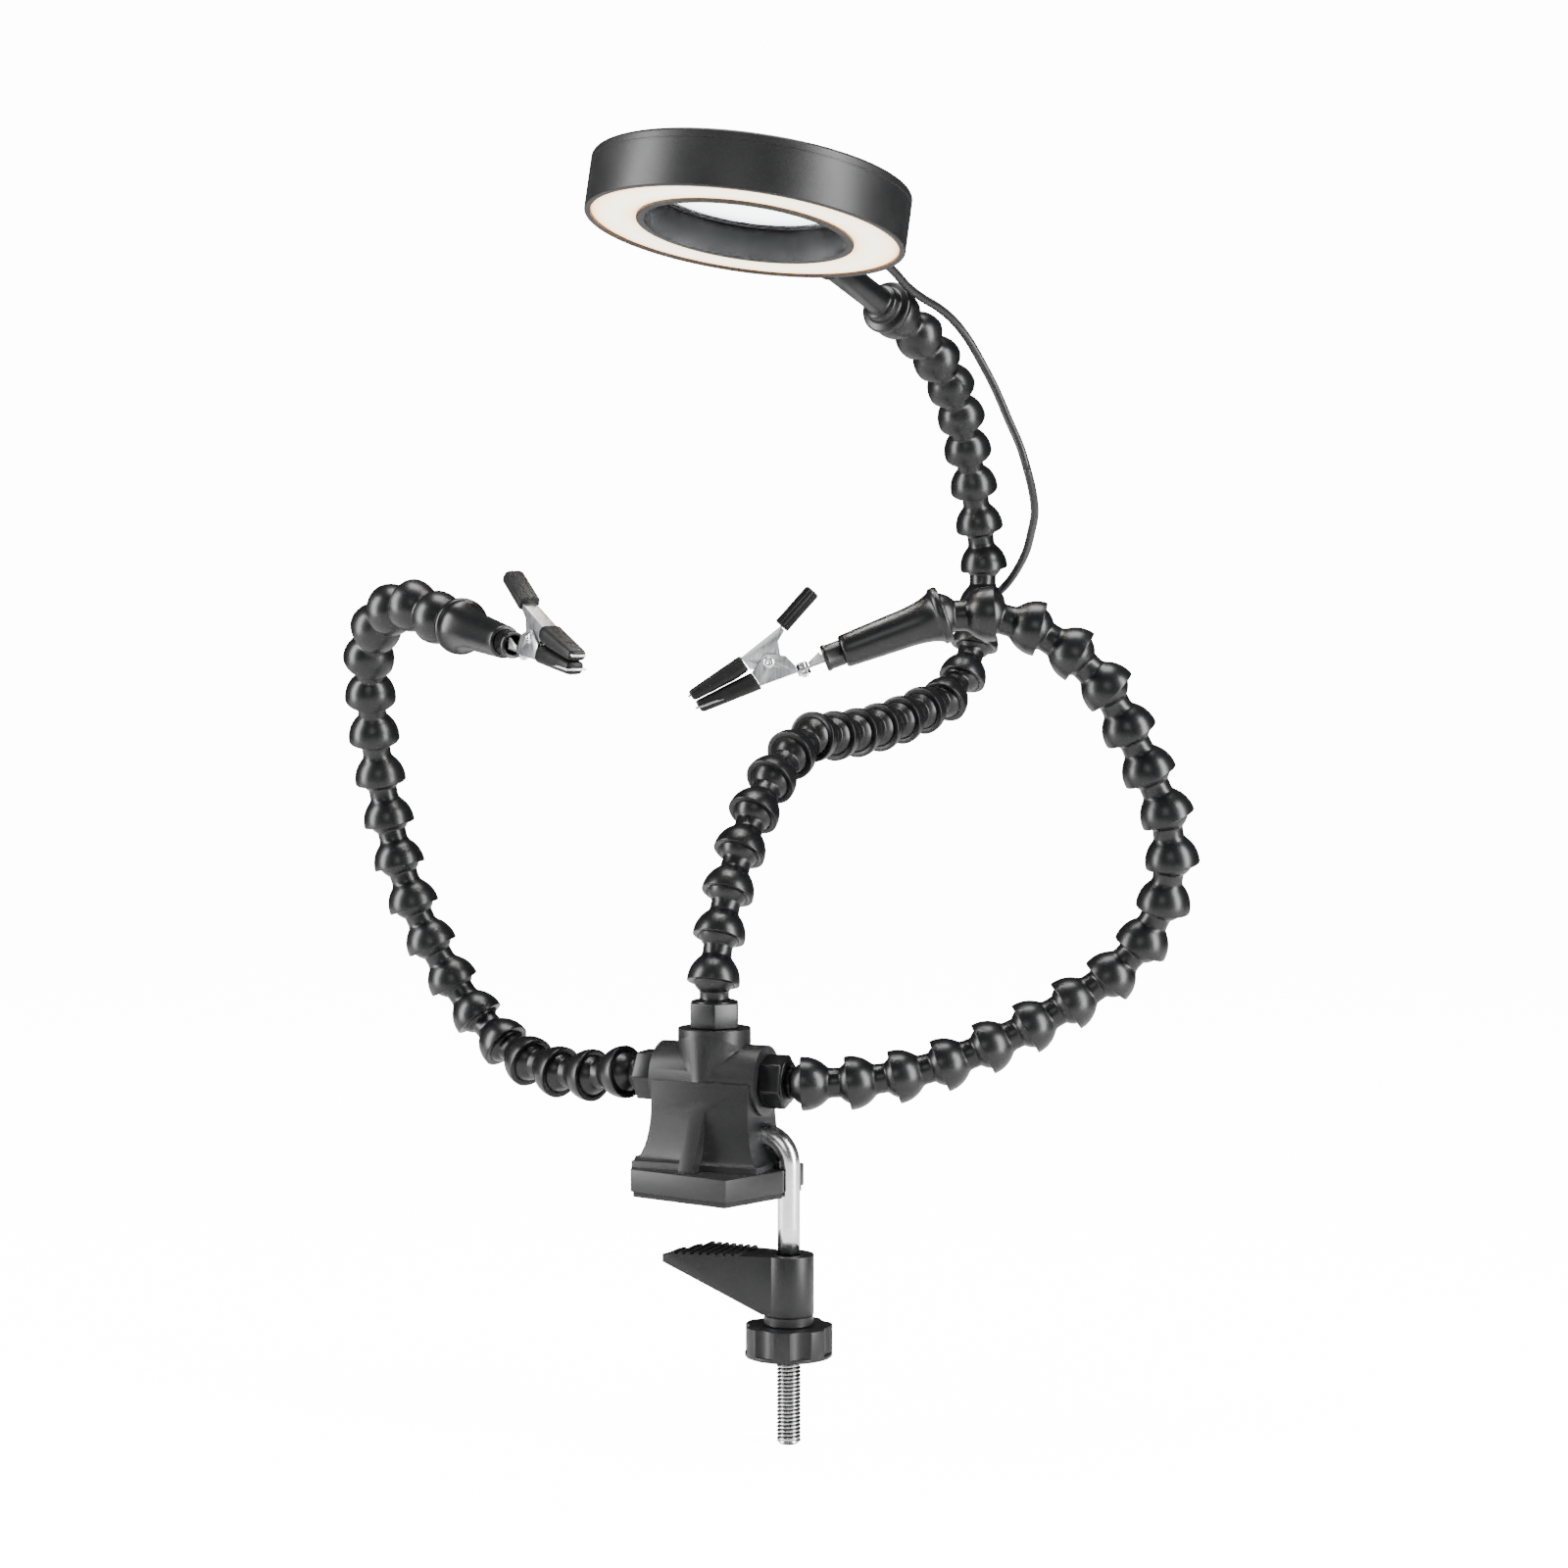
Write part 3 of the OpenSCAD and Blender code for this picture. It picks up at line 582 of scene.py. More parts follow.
# Link number and direction, as in the CAD: links between two keys turn evenly
LEFT_KEYS = [
    (0, (-1, 0.3, -0.15)), (3, (-0.75, 0.35, 0.3)), (6, (-0.45, -0.2, 0.9)), (9, (-0.25, -0.05, 1.05)),
    (13, (0.25, -0.45, 0.8)), (15, (0.7, -0.55, 0.35)), (17, (0.85, -0.45, -0.25)), (19, (0.8, -0.6, -0.1)),
]
RIGHT_KEYS = [
    (0, (1.05, 0.35, 0.05)), (3, (0.9, 0.35, 0.4)), (6, (0.8, 0.35, 0.6)), (9, (0.2, -0.2, 0.9)),
    (11, (-0.35, -0.25, 0.95)), (13, (-0.35, -0.35, 0.8)), (15, (-0.85, -0.3, 0.55)),
    (18, (-0.85, -0.35, -0.35)),
]
LAMP_KEYS = [
    (0, (0, 0.35, 1)), (3, (0.1, 0.65, 0.85)), (6, (0.15, 0.85, 0.3)), (7, (0.15, 1, 0)),
    (12, (0.2, 0.9, 0.25)), (14, (0.1, 0.55, 0.8)), (17, (-0.05, -0.2, 0.95)), (20, (0.05, -0.65, 0.75)),
    (24, (-0.2, -0.95, 0.4)),
]
GROUPS = {"left": (0, 4, 8, 12, 16, 19), "right": (0, 4, 8, 12, 15, 18), "lamp": (0, 5, 10, 15, 20, 25)}
CLIP_DIRS = {"left": (0.8, -0.6, -0.15), "right": (-0.86, -0.38, -0.35)}
LAMP_TURN = (2, 11, 80)


def link_dirs(keys, count):
    dirs = []
    for i in range(count):
        k = next((n for n in range(1, len(keys)) if keys[n][0] > i), len(keys) - 1)
        (a, low), (b, high) = keys[k - 1], keys[k]
        t = (i - a) / (b - a)
        dirs.append((Vector(low) * (1 - t) + Vector(high) * t).normalized())
    return dirs


def ball_centres(start, dirs):
    """Centres in millimetres, the first one on the connector."""
    centres = [Vector(start)]
    for d in dirs:
        centres.append(centres[-1] + PITCH * d)
    return centres


def aim(point, direction):
    """Turns +Z to the direction and moves the origin to the point, given in millimetres."""
    d = Vector(direction).normalized()
    turn = Matrix.Rotation(math.atan2(d.y, d.x), 4, "Z") @ Matrix.Rotation(math.acos(d.z), 4, "Y")
    return Matrix.Translation(Vector(point) * MM) @ turn


DIRS = {
    "left": link_dirs(LEFT_KEYS, GROUPS["left"][-1]),
    "right": link_dirs(RIGHT_KEYS, GROUPS["right"][-1]),
    "lamp": link_dirs(LAMP_KEYS, GROUPS["lamp"][-1]),
}
BALLS = {
    "left": ball_centres((-SIDE_BALL_X, 0, SIDE_BALL_Z), DIRS["left"]),
    "right": ball_centres((SIDE_BALL_X, 0, SIDE_BALL_Z), DIRS["right"]),
    "lamp": ball_centres((0, 0, LAMP_BALL_Z), DIRS["lamp"]),
}


# ---- Lead: its route ----

LEAD_SIDE = Vector((-0.38, 0.92, -0.05))
BOW_POINTS = [
    (30, 68, 309), (31, 74, 307), (32, 81, 304.5), (33, 91, 300.5), (34.5, 102, 297.5), (36.5, 113, 295),
    (39, 122, 291), (42, 128.5, 285), (45.5, 133, 277), (49.5, 136, 268), (54, 137.5, 257), (58, 138, 248),
]
BOW_RETURN = [
    (60, 140, 240), (60.5, 145, 232), (58.8, 153, 224.5), (54, 163.5, 217.5), (48.5, 174.5, 211),
    (42, 183.5, 204.5), (36, 189, 199), (30.6, 190.8, 195),
]
BLOCK_RUN = [
    (-4, 10.8, 66), (-3, 12.6, 60.5), (-1.4, 13.8, 54), (-0.3, 14.3, 46), (0, 14.3, 36), (0, 14.3, 26),
    (0, 14.3, 18),
]
TAIL_RUN = [
    (0, 14.3, 18), (0, 14.3, 14), (0, 14.8, 9), (0, 16.8, 4.6), (0, 20.5, 2.1), (0, 25, 1.5), (0.2, 30, 1.5),
    (0.2, 36, 1.5), (-0.1, 42, 1.5), (-0.7, 47, 1.5), (-1.6, 51.5, 1.5),
]
COIL_CENTRE = (-22, 56)
COIL_R = 17
COIL_ROWS = 3


def tangent(i):
    """The lamp hose's direction at a ball or between two balls."""
    dirs = DIRS["lamp"]
    below = max(0, math.floor(i - 0.5))
    above = min(len(dirs) - 1, math.ceil(i - 0.5))
    return (dirs[below] + dirs[above]).normalized()


def beside(i):
    """A point of the lead beside the lamp hose, in millimetres; i counts its balls."""
    t = tangent(i)
    off = (LEAD_SIDE - t * LEAD_SIDE.dot(t)).normalized()
    k = math.floor(i)
    dirs = DIRS["lamp"]
    on_axis = BALLS["lamp"][k] + dirs[min(k, len(dirs) - 1)] * ((i - k) * PITCH)
    return on_axis + off * LEAD_GAP


def run_beside(start, end):
    return [beside(start + 0.5 * k) for k in range(int((end - start) * 2) + 1)]


def coil_points():
    """Nine turns in three layers; the last one leaves through a half turn into the plug."""
    cx, cy = COIL_CENTRE
    start = math.atan2(TAIL_RUN[-1][1] - cy, TAIL_RUN[-1][0] - cx)
    steps = 24
    out = []
    turns = COIL_ROWS * COIL_ROWS
    columns = [1, 0, -1, -1, 0, 1, 1, 0, -1]
    for k in range(turns * steps + 1):
        turn = min(k / steps, turns - 1e-6)
        n = int(turn)
        swap = max(0.0, (turn - n - 0.75) * 4) if n < turns - 1 else 0
        column = columns[n] * (1 - swap) + columns[min(n + 1, turns - 1)] * swap
        layer = (n // COIL_ROWS) * (1 - swap) + (min(n + 1, turns - 1) // COIL_ROWS) * swap
        a = start + 2 * math.pi * turn
        r = COIL_R + column * LEAD_D
        out.append((cx + r * math.cos(a), cy + r * math.sin(a), LEAD_D / 2 + layer * LEAD_D))
    return out


def to_metres(points):
    return [Vector(p) * MM for p in points]


def lead_piece(name, line, sides=14, body=None, blend=None, stands_for=()):
    """A stretch of the lead along a finished line, riding on one body, or, when a blend is given, on no body,
    fixed where it is drawn.
    """
    verts, faces = tube(line, LEAD_D / 2, sides)
    piece = mesh_piece(name, verts, faces, body, JACKET, stands_for=stands_for, slot="lead_jacket")
    if blend:
        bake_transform(piece)
    return piece


def make_lead():
    # The free end behind the block, coiled, with the plug
    line = catmull(to_metres(TAIL_RUN[:-1] + coil_points()), 2)
    cord = lead_piece("lead_cord", line, 10, body="base", stands_for=("lead_tail", "lead_coil"))

    # From the block up the lamp hose and through the bow into the lamp, cut where a hose joint bends it
    fine = 6
    hose = run_beside(0.5, 16)
    route = list(reversed(BLOCK_RUN)) + hose + list(reversed(BOW_RETURN)) + list(reversed(BOW_POINTS))
    line = catmull(to_metres(route), fine)
    block_n, hose_n = len(BLOCK_RUN), len(hose)

    def stretch(start, end):
        return line[start * fine:end * fine + 1]

    def at_link(i):
        return block_n + round((i - 0.5) * 2)

    lead_piece("lead_run_1", stretch(0, at_link(2.5)), stands_for=("lead_on_block", "lead_on_beads_1"),
               blend=("base", "lamp_hose_1", line[(block_n - 2) * fine], line[at_link(1) * fine]))
    for n in range(2, 5):
        joint = 5 * (n - 1)
        end = min(joint + 2.5, 16)
        lead_piece(f"lead_run_{n}", stretch(at_link(joint - 2.5), at_link(end)),
                   stands_for=(f"lead_on_beads_{n}",),
                   blend=(f"lamp_hose_{n - 1}", f"lamp_hose_{n}", line[at_link(joint - 0.5) * fine],
                          line[at_link(joint + 0.5) * fine]))
    turn = block_n + hose_n + len(BOW_RETURN) - 1
    back = list(reversed(stretch(at_link(16), turn)))
    returning = lead_piece("lead_return", back, blend=("lamp_hose_5", "lamp_hose_4", back[0], back[-1]))
    bow = list(reversed(stretch(turn, len(route) - 1)))
    bowed = lead_piece("lead_bow_piece", bow, stands_for=("lead_bow",),
                       blend=("lamp_head", "lamp_hose_5", bow[0], bow[-1]))


def place_lamp():
    x, y, z = (math.radians(a) for a in LAMP_TURN)
    turn = Matrix.Rotation(z, 4, "Z") @ Matrix.Rotation(y, 4, "Y") @ Matrix.Rotation(x, 4, "X")
    return Matrix.Translation(BALLS["lamp"][-1] * MM) @ turn


AT_LAMP = place_lamp()
AT_RING = AT_LAMP @ Matrix.Translation(mm(-LAMP_REACH, 0, 0))

make_lead()


# ---- Hose beads and connectors ----


def ball_profile(neck_from):
    """Neck, ball and flat nose on the outside, from the neck's foot to the passage's mouth."""
    foot = math.degrees(math.asin((NECK_R + 0.25) / BALL_R))
    nose = math.degrees(math.acos(4.47 / BALL_R))
    return ([(NECK_R, neck_from), (NECK_R, PITCH - 6.0), (NECK_R + 0.1, PITCH - 5.5)]
            + arc(0, PITCH, BALL_R, -90 + foot, nose, 16)
            + [(4.15, PITCH + 5.9), (3.0, PITCH + 5.9), (PASSAGE_R, PITCH + 5.6)])


def bead_profile():
    """Closed outline from the socket's rim: flat underside, sharp skirt, dome, slim neck and next ball."""
    inside = math.sqrt(SOCKET_R ** 2 - SKIRT_DROP ** 2)
    low = -math.degrees(math.asin(SKIRT_DROP / SOCKET_R))
    rim = [(inside, -SKIRT_DROP + 0.1), (inside + 0.2, -SKIRT_DROP),
           (8.4, -SKIRT_DROP), (8.62, -SKIRT_DROP + 0.07),
           (8.72, -SKIRT_DROP + 0.25), (8.72, -SKIRT_DROP + 0.5)]
    guides = [(8.72, -2.65), (8.7, -1.7), (8.55, -0.5), (8.25, 0.7), (7.8, 1.9), (7.15, 3.1),
              (6.35, 4.2), (5.55, 5.1), (5.05, 5.8), (4.88, 6.6), (NECK_R, 7.4)]
    shell = [(v[0], v[1]) for v in catmull([Vector((r, z, 0)) for r, z in guides], 3)]
    socket = [(PASSAGE_R, 7.0)] + arc(0, 0, SOCKET_R, 68, low, 12)
    return rim + shell[1:] + ball_profile(7.9) + socket + rim[:1]


def make_beads():
    profile = bead_profile()
    for arm, groups in GROUPS.items():
        for n in range(1, 6):
            members = range(groups[n - 1], groups[n])
            parts = [lathe(profile, BEAD_SIDES, aim(BALLS[arm][i], DIRS[arm][i])) for i in members]
            mesh_piece(f"{arm}_hose_beads_{n}", *joined(parts), f"{arm}_hose_{n}", GLOSS,
                       stands_for=(f"{arm}_beads_{n}",), slot="gloss_black_plastic")


def bevelled(piece, width, segments=2, angle=30):
    """Rounds a finished mesh's sharp edges; the width is in millimetres."""
    bevel = piece.modifiers.new("round", "BEVEL")
    bevel.width = width * MM
    bevel.segments = segments
    bevel.limit_method = "ANGLE"
    bevel.angle_limit = math.radians(angle)
    with bpy.context.temp_override(object=piece, active_object=piece, selected_objects=[piece]):
        bpy.ops.object.modifier_apply(modifier=bevel.name)
    smooth_by_angle(piece)
    return piece


def prism(outline, z0, z1, place):
    """A prism with an outline in millimetres, anticlockwise seen from +Z."""
    n = len(outline)
    verts = [place @ mm(x, y, z) for z in (z0, z1) for x, y in outline]
    faces = [tuple(range(n - 1, -1, -1)), tuple(range(n, 2 * n))]
    faces += [(k, (k + 1) % n, (k + 1) % n + n, k + n) for k in range(n)]
    return verts, faces


def ngon(radius, sides, turn=0):
    return [(radius * math.cos(2 * math.pi * k / sides + math.radians(turn)),
             radius * math.sin(2 * math.pi * k / sides + math.radians(turn))) for k in range(sides)]


HEX_R = 8.95


def make_connectors():
    """Hexagon with washer faces, then the neck and the first ball; each seat, height, way out and turn."""
    seats = {"left": (15.5, 7.5, (-1, 0, 0), 30), "right": (15.5, 7.5, (1, 0, 0), 47),
             "lamp": (17.5, 8.5, (0, 0, 1), 52.5)}
    for arm, (seat, hex_h, out, turn) in seats.items():
        place = aim(BALLS[arm][0], out)
        sides = prism(ngon(HEX_R, 6, turn), -seat + 0.02, -seat + hex_h, place)
        hexagon = mesh_piece(f"{arm}_hexagon", *sides, "base", GLOSS,
                             stands_for=(f"{arm}_connector",), slot="gloss_black_plastic")
        bevelled(hexagon, 0.55, 3)
        top = -seat + hex_h
        neck = [(7.2, top - 1), (7.2, top + 0.25), (6.9, top + 0.5),
                (NECK_R + 0.9, top + 0.5), (NECK_R, top + 1.2)]
        ball = [(r, z - PITCH) for r, z in ball_profile(PITCH - 7.6)]
        profile = neck + ball + [(PASSAGE_R, 0), (PASSAGE_R, top - 1)]
        mesh_piece(f"{arm}_neck", *lathe(profile, BEAD_SIDES, place), "base", GLOSS,
                   stands_for=(f"{arm}_connector",), slot="gloss_black_plastic")


make_beads()
make_connectors()


# ---- Block and clamp ----

ROD_X = 26.2
ROD_R = 3.65
ROD_LOW = -81.0
HOOK_Z = 19.5
HOOK_R = 9.0
THREAD_TOP = -23.0
JAW_TOP = -19.0
JAW_H = 19.5
WHEEL_H = 10.0
COLLAR_H = 3.5
WHEEL_TOP = JAW_TOP - JAW_H - 0.1 - COLLAR_H


def make_block():
    softened("base_block", "block_body", SATIN, 0.7, 3)
    softened("base_pad", "block_pad", RUBBER, 0.25, 2)


def make_rod():
    """Smooth shank bent into the block, and a rolled thread below it."""
    shank = [(ROD_X, 0, THREAD_TOP + 0.5), (ROD_X, 0, -10), (ROD_X, 0, 0)]
    bend = [(ROD_X + HOOK_R * (math.cos(math.radians(a)) - 1), 0,
             HOOK_Z + HOOK_R * (math.sin(math.radians(a)) - 1)) for a in range(0, 91, 6)]
    line = to_metres(shank + bend + [(14, 0, HOOK_Z), (9, 0, HOOK_Z)])
    mesh_piece("rod_shank", *tube(line, ROD_R, 36), "base", BRIGHT,
               stands_for=("clamp_rod",), slot="bright_steel")
    # a helical thread as a fine grid: rounded roots and crests
    sides, depth = 40, 0.78
    step = THREAD_PITCH / 8
    low, high = ROD_LOW + 0.9, THREAD_TOP
    rows = int((high - low) / step)
    verts, faces = [], []
    for row in range(rows + 1):
        z = low + row * step
        for k in range(sides):
            a = 2 * math.pi * k / sides
            phase = (z / THREAD_PITCH - k / sides) % 1
            crest = abs(2 * phase - 1)
            fade = min(1, (z - low) / 1.5, (high - z) / 2.5)
            r = THREAD_R - depth * (1 - crest) * (0.3 + 0.7 * fade)
            verts.append(mm(ROD_X + r * math.cos(a), r * math.sin(a), z))
    for row in range(rows):
        for k in range(sides):
            m = (k + 1) % sides
            faces.append((row * sides + k, row * sides + m, (row + 1) * sides + m, (row + 1) * sides + k))
    at = Matrix.Translation(mm(ROD_X, 0, 0))
    end = [(0, ROD_LOW), (2.9, ROD_LOW), (3.35, ROD_LOW + 0.5), (3.6, ROD_LOW + 0.95), (0, ROD_LOW + 0.95)]
    tip = lathe(end, sides, at)
    neck = lathe([(0, high - 0.05), (3.9, high - 0.05), (ROD_R, high + 0.6), (0, high + 0.6)], sides, at)
    rod = mesh_piece("rod_thread", *joined([(verts, faces), tip, neck]), "base", THREAD,
                     stands_for=("clamp_rod",), slot="bright_steel")
    # this layer carries the thread's painted root shade, 0 at the root and 1 at the crest
    layer = rod.data.uv_layers.new(name="root_to_crest")
    for loop in rod.data.loops:
        point = rod.data.vertices[loop.vertex_index].co
        r = math.hypot(point.x / MM - ROD_X, point.y / MM)
        layer.data[loop.index].uv = (max(0, min(1, (r - THREAD_R) / depth + 1)), point.z / MM / 100)


def make_clamp():
    softened("clamp_jaw", "jaw_body", SATIN, 0.45, 2)
    at = Matrix.Translation(mm(ROD_X, 0, WHEEL_TOP + 0.05))
    ring = [(4.06, 0.3), (4.4, 0), (7.6, 0), (8, 0.4), (8, COLLAR_H - 0.4), (7.6, COLLAR_H),
            (4.4, COLLAR_H), (4.06, COLLAR_H - 0.3), (4.06, 0.3)]
    mesh_piece("collar_ring", *lathe(ring, 48, at), "collar", SATIN, smooth=False,
               stands_for=("thrust_collar",), slot="matte_black_plastic")
    smooth_by_angle(bpy.data.objects["collar_ring"])
    softened("hand_wheel", "wheel_body", SATIN, 0.6, 3)
    at = Matrix.Translation(mm(ROD_X, 0, WHEEL_TOP - WHEEL_H + 2))
    nut = [(4.06, 0.7), (4.7, 0.1), (6.2, 0.1), (6.5, 0.4), (6.5, 7.6), (6.2, 8), (4.7, 8), (4.06, 7.4),
           (4.06, 0.7)]
    mesh_piece("wheel_insert", *lathe(nut, 40, at), "wheel", BRASS, smooth=False,
               stands_for=("wheel_nut",), slot="brass")
    smooth_by_angle(bpy.data.objects["wheel_insert"])


make_block()
make_rod()
make_clamp()


# ---- Clips ----
# Distances along a clip's axis and heights above it, as in the CAD; the last ball is the origin

HOLDER_L = 31.5
CLIP_W = 6.6
RIVET_S = 54.4
RIVET_H = 5.0
HANDLE_ANGLE = 28
SCREW_S = 45
WIRE_R = 0.35
LEAN = 0.23


def section_sweep(stations, place, sides=28, power=3.2, lean=0.0, ridges=0):
    """A rounded bar along its axis: each station is (s, low, high, half width) in millimetres."""
    verts, faces = [], []
    for s, low, high, half in stations:
        for k in range(sides):
            a = 2 * math.pi * (k + 0.5) / sides
            c, d = math.cos(a), math.sin(a)
            cut = 1 - 0.045 * (1 - math.cos(ridges * a))
            y = cut * half * math.copysign(abs(c) ** (2 / power), c)
            rise = cut * (high - low) / 2 * math.copysign(abs(d) ** (2 / power), d)
            verts.append(place @ mm(-((low + high) / 2 + rise), y, s + lean * rise))
    for i in range(len(stations) - 1):
        for k in range(sides):
            m = (k + 1) % sides
            faces.append((i * sides + k, i * sides + m, (i + 1) * sides + m, (i + 1) * sides + k))
    faces.append(tuple(range(sides - 1, -1, -1)))
    faces.append(tuple(range((len(stations) - 1) * sides, len(stations) * sides)))
    return verts, faces


def handle_place(place):
    """The handle's own axis: through the rivet, turned up from the clip's axis."""
    turn = Matrix.Rotation(math.radians(HANDLE_ANGLE), 4, "Y")
    return place @ Matrix.Translation(mm(-RIVET_H, 0, RIVET_S)) @ turn


def make_clip(side):
    place = aim(BALLS[side][-1], CLIP_DIRS[side])
    clip, lever, holder = f"{side}_clip", f"{side}_lever", f"{side}_holder"
    handle = handle_place(place)

    # bell and tapered tube
    bell = ([(SOCKET_R - 0.35, -2.3), (8.0, -2.75), (8.7, -2.7), (9.1, -2.3), (9.2, -1.5), (9.1, 0)]
            + [(9.1 - 3.1 * math.sin(math.radians(t)), 14 * (1 - math.cos(math.radians(t))))
               for t in range(10, 91, 8)]
            + [(5.9, 16), (5.6, 23), (5.35, 28), (5.25, HOLDER_L - 0.9), (5.0, HOLDER_L - 0.25),
               (4.6, HOLDER_L), (3.9, HOLDER_L), (3.72, HOLDER_L - 0.3), (3.72, HOLDER_L - 10),
               (PASSAGE_R, HOLDER_L - 11), (PASSAGE_R, 7.1)]
            + arc(0, 0, SOCKET_R, 68, -18, 12))
    mesh_piece(f"{side}_holder_tube", *lathe(bell, 56, place), holder, GLOSS,
               stands_for=(f"{side}_clip_holder",), slot="gloss_black_plastic")
    ring = [(2.9, HOLDER_L - 8), (3.7, HOLDER_L - 8), (3.7, HOLDER_L + 0.02), (3.9, HOLDER_L + 0.05),
            (4.02, HOLDER_L + 0.3), (4.02, HOLDER_L + 4.7), (4.25, HOLDER_L + 4.95), (4.3, HOLDER_L + 5.3),
            (4.25, HOLDER_L + 5.9), (3.95, HOLDER_L + 6.3), (3.2, HOLDER_L + 6.3), (2.9, HOLDER_L + 6.0),
            (2.9, HOLDER_L - 8)]
    mesh_piece(f"{side}_holder_collar", *lathe(ring, 48, place), holder, GLOSS,
               stands_for=(f"{side}_clip_collar",), slot="gloss_black_plastic")
    smooth_by_angle(bpy.data.objects[f"{side}_holder_collar"], 50)

    # stamped sheet parts
    softened(f"{side}_clip_frame", f"{side}_frame_sheet", CLIP, 0.13, 2)
    softened(f"{side}_clip_lever", f"{side}_lever_sheet", CLIP, 0.13, 2)

    # smooth vinyl sleeves on the jaws, and a ridged one on the handle
    half = (CLIP_W + 1) / 2
    lower = [(59.9, -1.6, 3.5, half - 0.4), (60.1, -1.9, 3.85, half - 0.1), (60.5, -2.05, 3.9, half),
             (67.4, -2.2, 3.18, half - 0.25),
             (74, -2.35, 2.4, half - 0.5), (79, -2.4, 1.8, half - 0.8),
             (79.6, -2.25, 1.65, half - 1), (79.95, -1.8, 1.2, half - 1.4)]
    mesh_piece(f"{side}_lower_sleeve", *section_sweep(lower, place, lean=LEAN), clip, SLEEVE,
               stands_for=(f"{side}_clip_jaw_sleeve",), slot="soft_black_sleeve")
    upper = [(61.65, 5.3, 9.7, half - 0.4), (61.85, 5.0, 10.0, half - 0.1), (62.2, 4.75, 10.05, half),
             (64.5, 4.05, 9.45, half - 0.1),
             (67.4, 3.42, 8.75, half - 0.25), (74, 2.65, 7.1, half - 0.5), (79.8, 2.0, 5.65, half - 0.8),
             (80.6, 2.1, 5.35, half - 1), (80.95, 2.5, 4.95, half - 1.4)]
    mesh_piece(f"{side}_upper_sleeve", *section_sweep(upper, place, lean=LEAN), lever, SLEEVE,
               stands_for=(f"{side}_clip_lever_sleeves",), slot="soft_black_sleeve")
    grip = [(-26, 2.8, 6.3, 2.8), (-25.75, 2.3, 6.8, 3.2), (-25.3, 2.05, 7.05, 3.4), (-12, 2.05, 7.05, 3.5),
            (-11.6, 2.0, 7.1, 3.55), (-11.25, 2.1, 7.0, 3.45), (-11.1, 2.5, 6.6, 3.1)]
    mesh_piece(f"{side}_handle_sleeve", *section_sweep(grip, handle, sides=112, ridges=22), lever, SLEEVE,
               stands_for=(f"{side}_clip_lever_sleeves",), slot="soft_black_sleeve")

    # tubular rivet
    across = place @ Matrix.Translation(mm(-RIVET_H, 0, RIVET_S)) @ Matrix.Rotation(math.radians(90), 4, "X")
    h = CLIP_W / 2
    rim = [(0, h + 0.15), (0.5, h + 0.15), (0.58, h + 0.55), (0.9, h + 0.66), (1.4, h + 0.5), (1.72, h + 0.2),
           (1.78, h + 0.02), (0.9, h + 0.02)]
    dome = [(r, -z) for r, z in rim] + [(r, z) for r, z in reversed(rim)]
    mesh_piece(f"{side}_rivet", *lathe(dome, 32, across), clip, BRIGHT,
               stands_for=(f"{side}_clip_rivet",), slot="bright_steel")

    # torsion spring: a wound wire with one leg under the handle and one on the frame
    wire = []
    coil_half, turns = 1.75, 5
    for k in range(turns * 20 + 1):
        a = 2 * math.pi * k / 20
        across_y = -coil_half + 2 * coil_half * k / (turns * 20)
        wire.append(place @ mm(-RIVET_H - 1.5 * math.cos(a), across_y, RIVET_S - 1.5 * math.sin(a)))
    leg = [place @ mm(-RIVET_H + 1.2, coil_half + 0.05, RIVET_S - 1.9),
           place @ mm(-1.2, coil_half - 0.1, RIVET_S - 3.6),
           place @ mm(0.15, coil_half - 0.3, RIVET_S - 5.2),
           place @ mm(0.15, coil_half - 0.4, RIVET_S - 6.6)]
    mesh_piece(f"{side}_spring_coil", *tube(wire, WIRE_R, 8), clip, SPRING,
               stands_for=(f"{side}_clip_spring",), slot="spring_steel")
    leg_line = [wire[-1]] + leg
    mesh_piece(f"{side}_spring_leg", *tube(catmull(leg_line, 5), WIRE_R, 8), clip, SPRING,
               slot="spring_steel")
    top_leg = [wire[0], place @ mm(-RIVET_H - 1.9, -coil_half, RIVET_S - 0.9),
               place @ mm(-9.6, -coil_half + 0.2, RIVET_S - 2.4),
               place @ mm(-12.2, -coil_half + 0.4, RIVET_S - 4.2)]
    mesh_piece(f"{side}_spring_top_leg", *tube(catmull(top_leg, 5), WIRE_R, 8), lever, SPRING,
               slot="spring_steel")

    # screw with a slot, and its nut
    down = place @ Matrix.Translation(mm(0, 0, SCREW_S)) @ Matrix.Rotation(math.radians(90), 4, "Y")
    shaft = lathe([(0, 0.4), (1, 0.4), (1, 3.2), (0.8, 3.4), (0, 3.4)], 20, down)
    domed = [(0.28, -1.2), (0.28, -1.5), (1.1, -1.45), (1.6, -1.3), (1.9, -0.95), (1.9, 0.35),
             (1.75, 0.45), (0, 0.45)]
    head = lathe(domed, 32, down)
    slot_floor = lathe([(0, -1.15), (0.4, -1.15), (0.4, -0.3), (0, -0.3)], 12, down)
    nut = prism(ngon(2.1, 6), 1.15, 2.65, down)
    mesh_piece(f"{side}_screw", *joined([shaft, head, slot_floor, nut]), clip, BRIGHT, smooth=False,
               stands_for=(f"{side}_clip_screw",), slot="bright_steel")
    bevelled(bpy.data.objects[f"{side}_screw"], 0.12, 2, 40)


for clip_side in ("left", "right"):
    make_clip(clip_side)


# ---- Ring lamp ----

STALK_RISE = 5.0
STALK_L = math.hypot(LAMP_REACH - RING_R, STALK_RISE)
WALL_T = 2.0
COVER_T = 2.0
LENS_Z = RING_H - 6
LENS_BULGE = 4.0


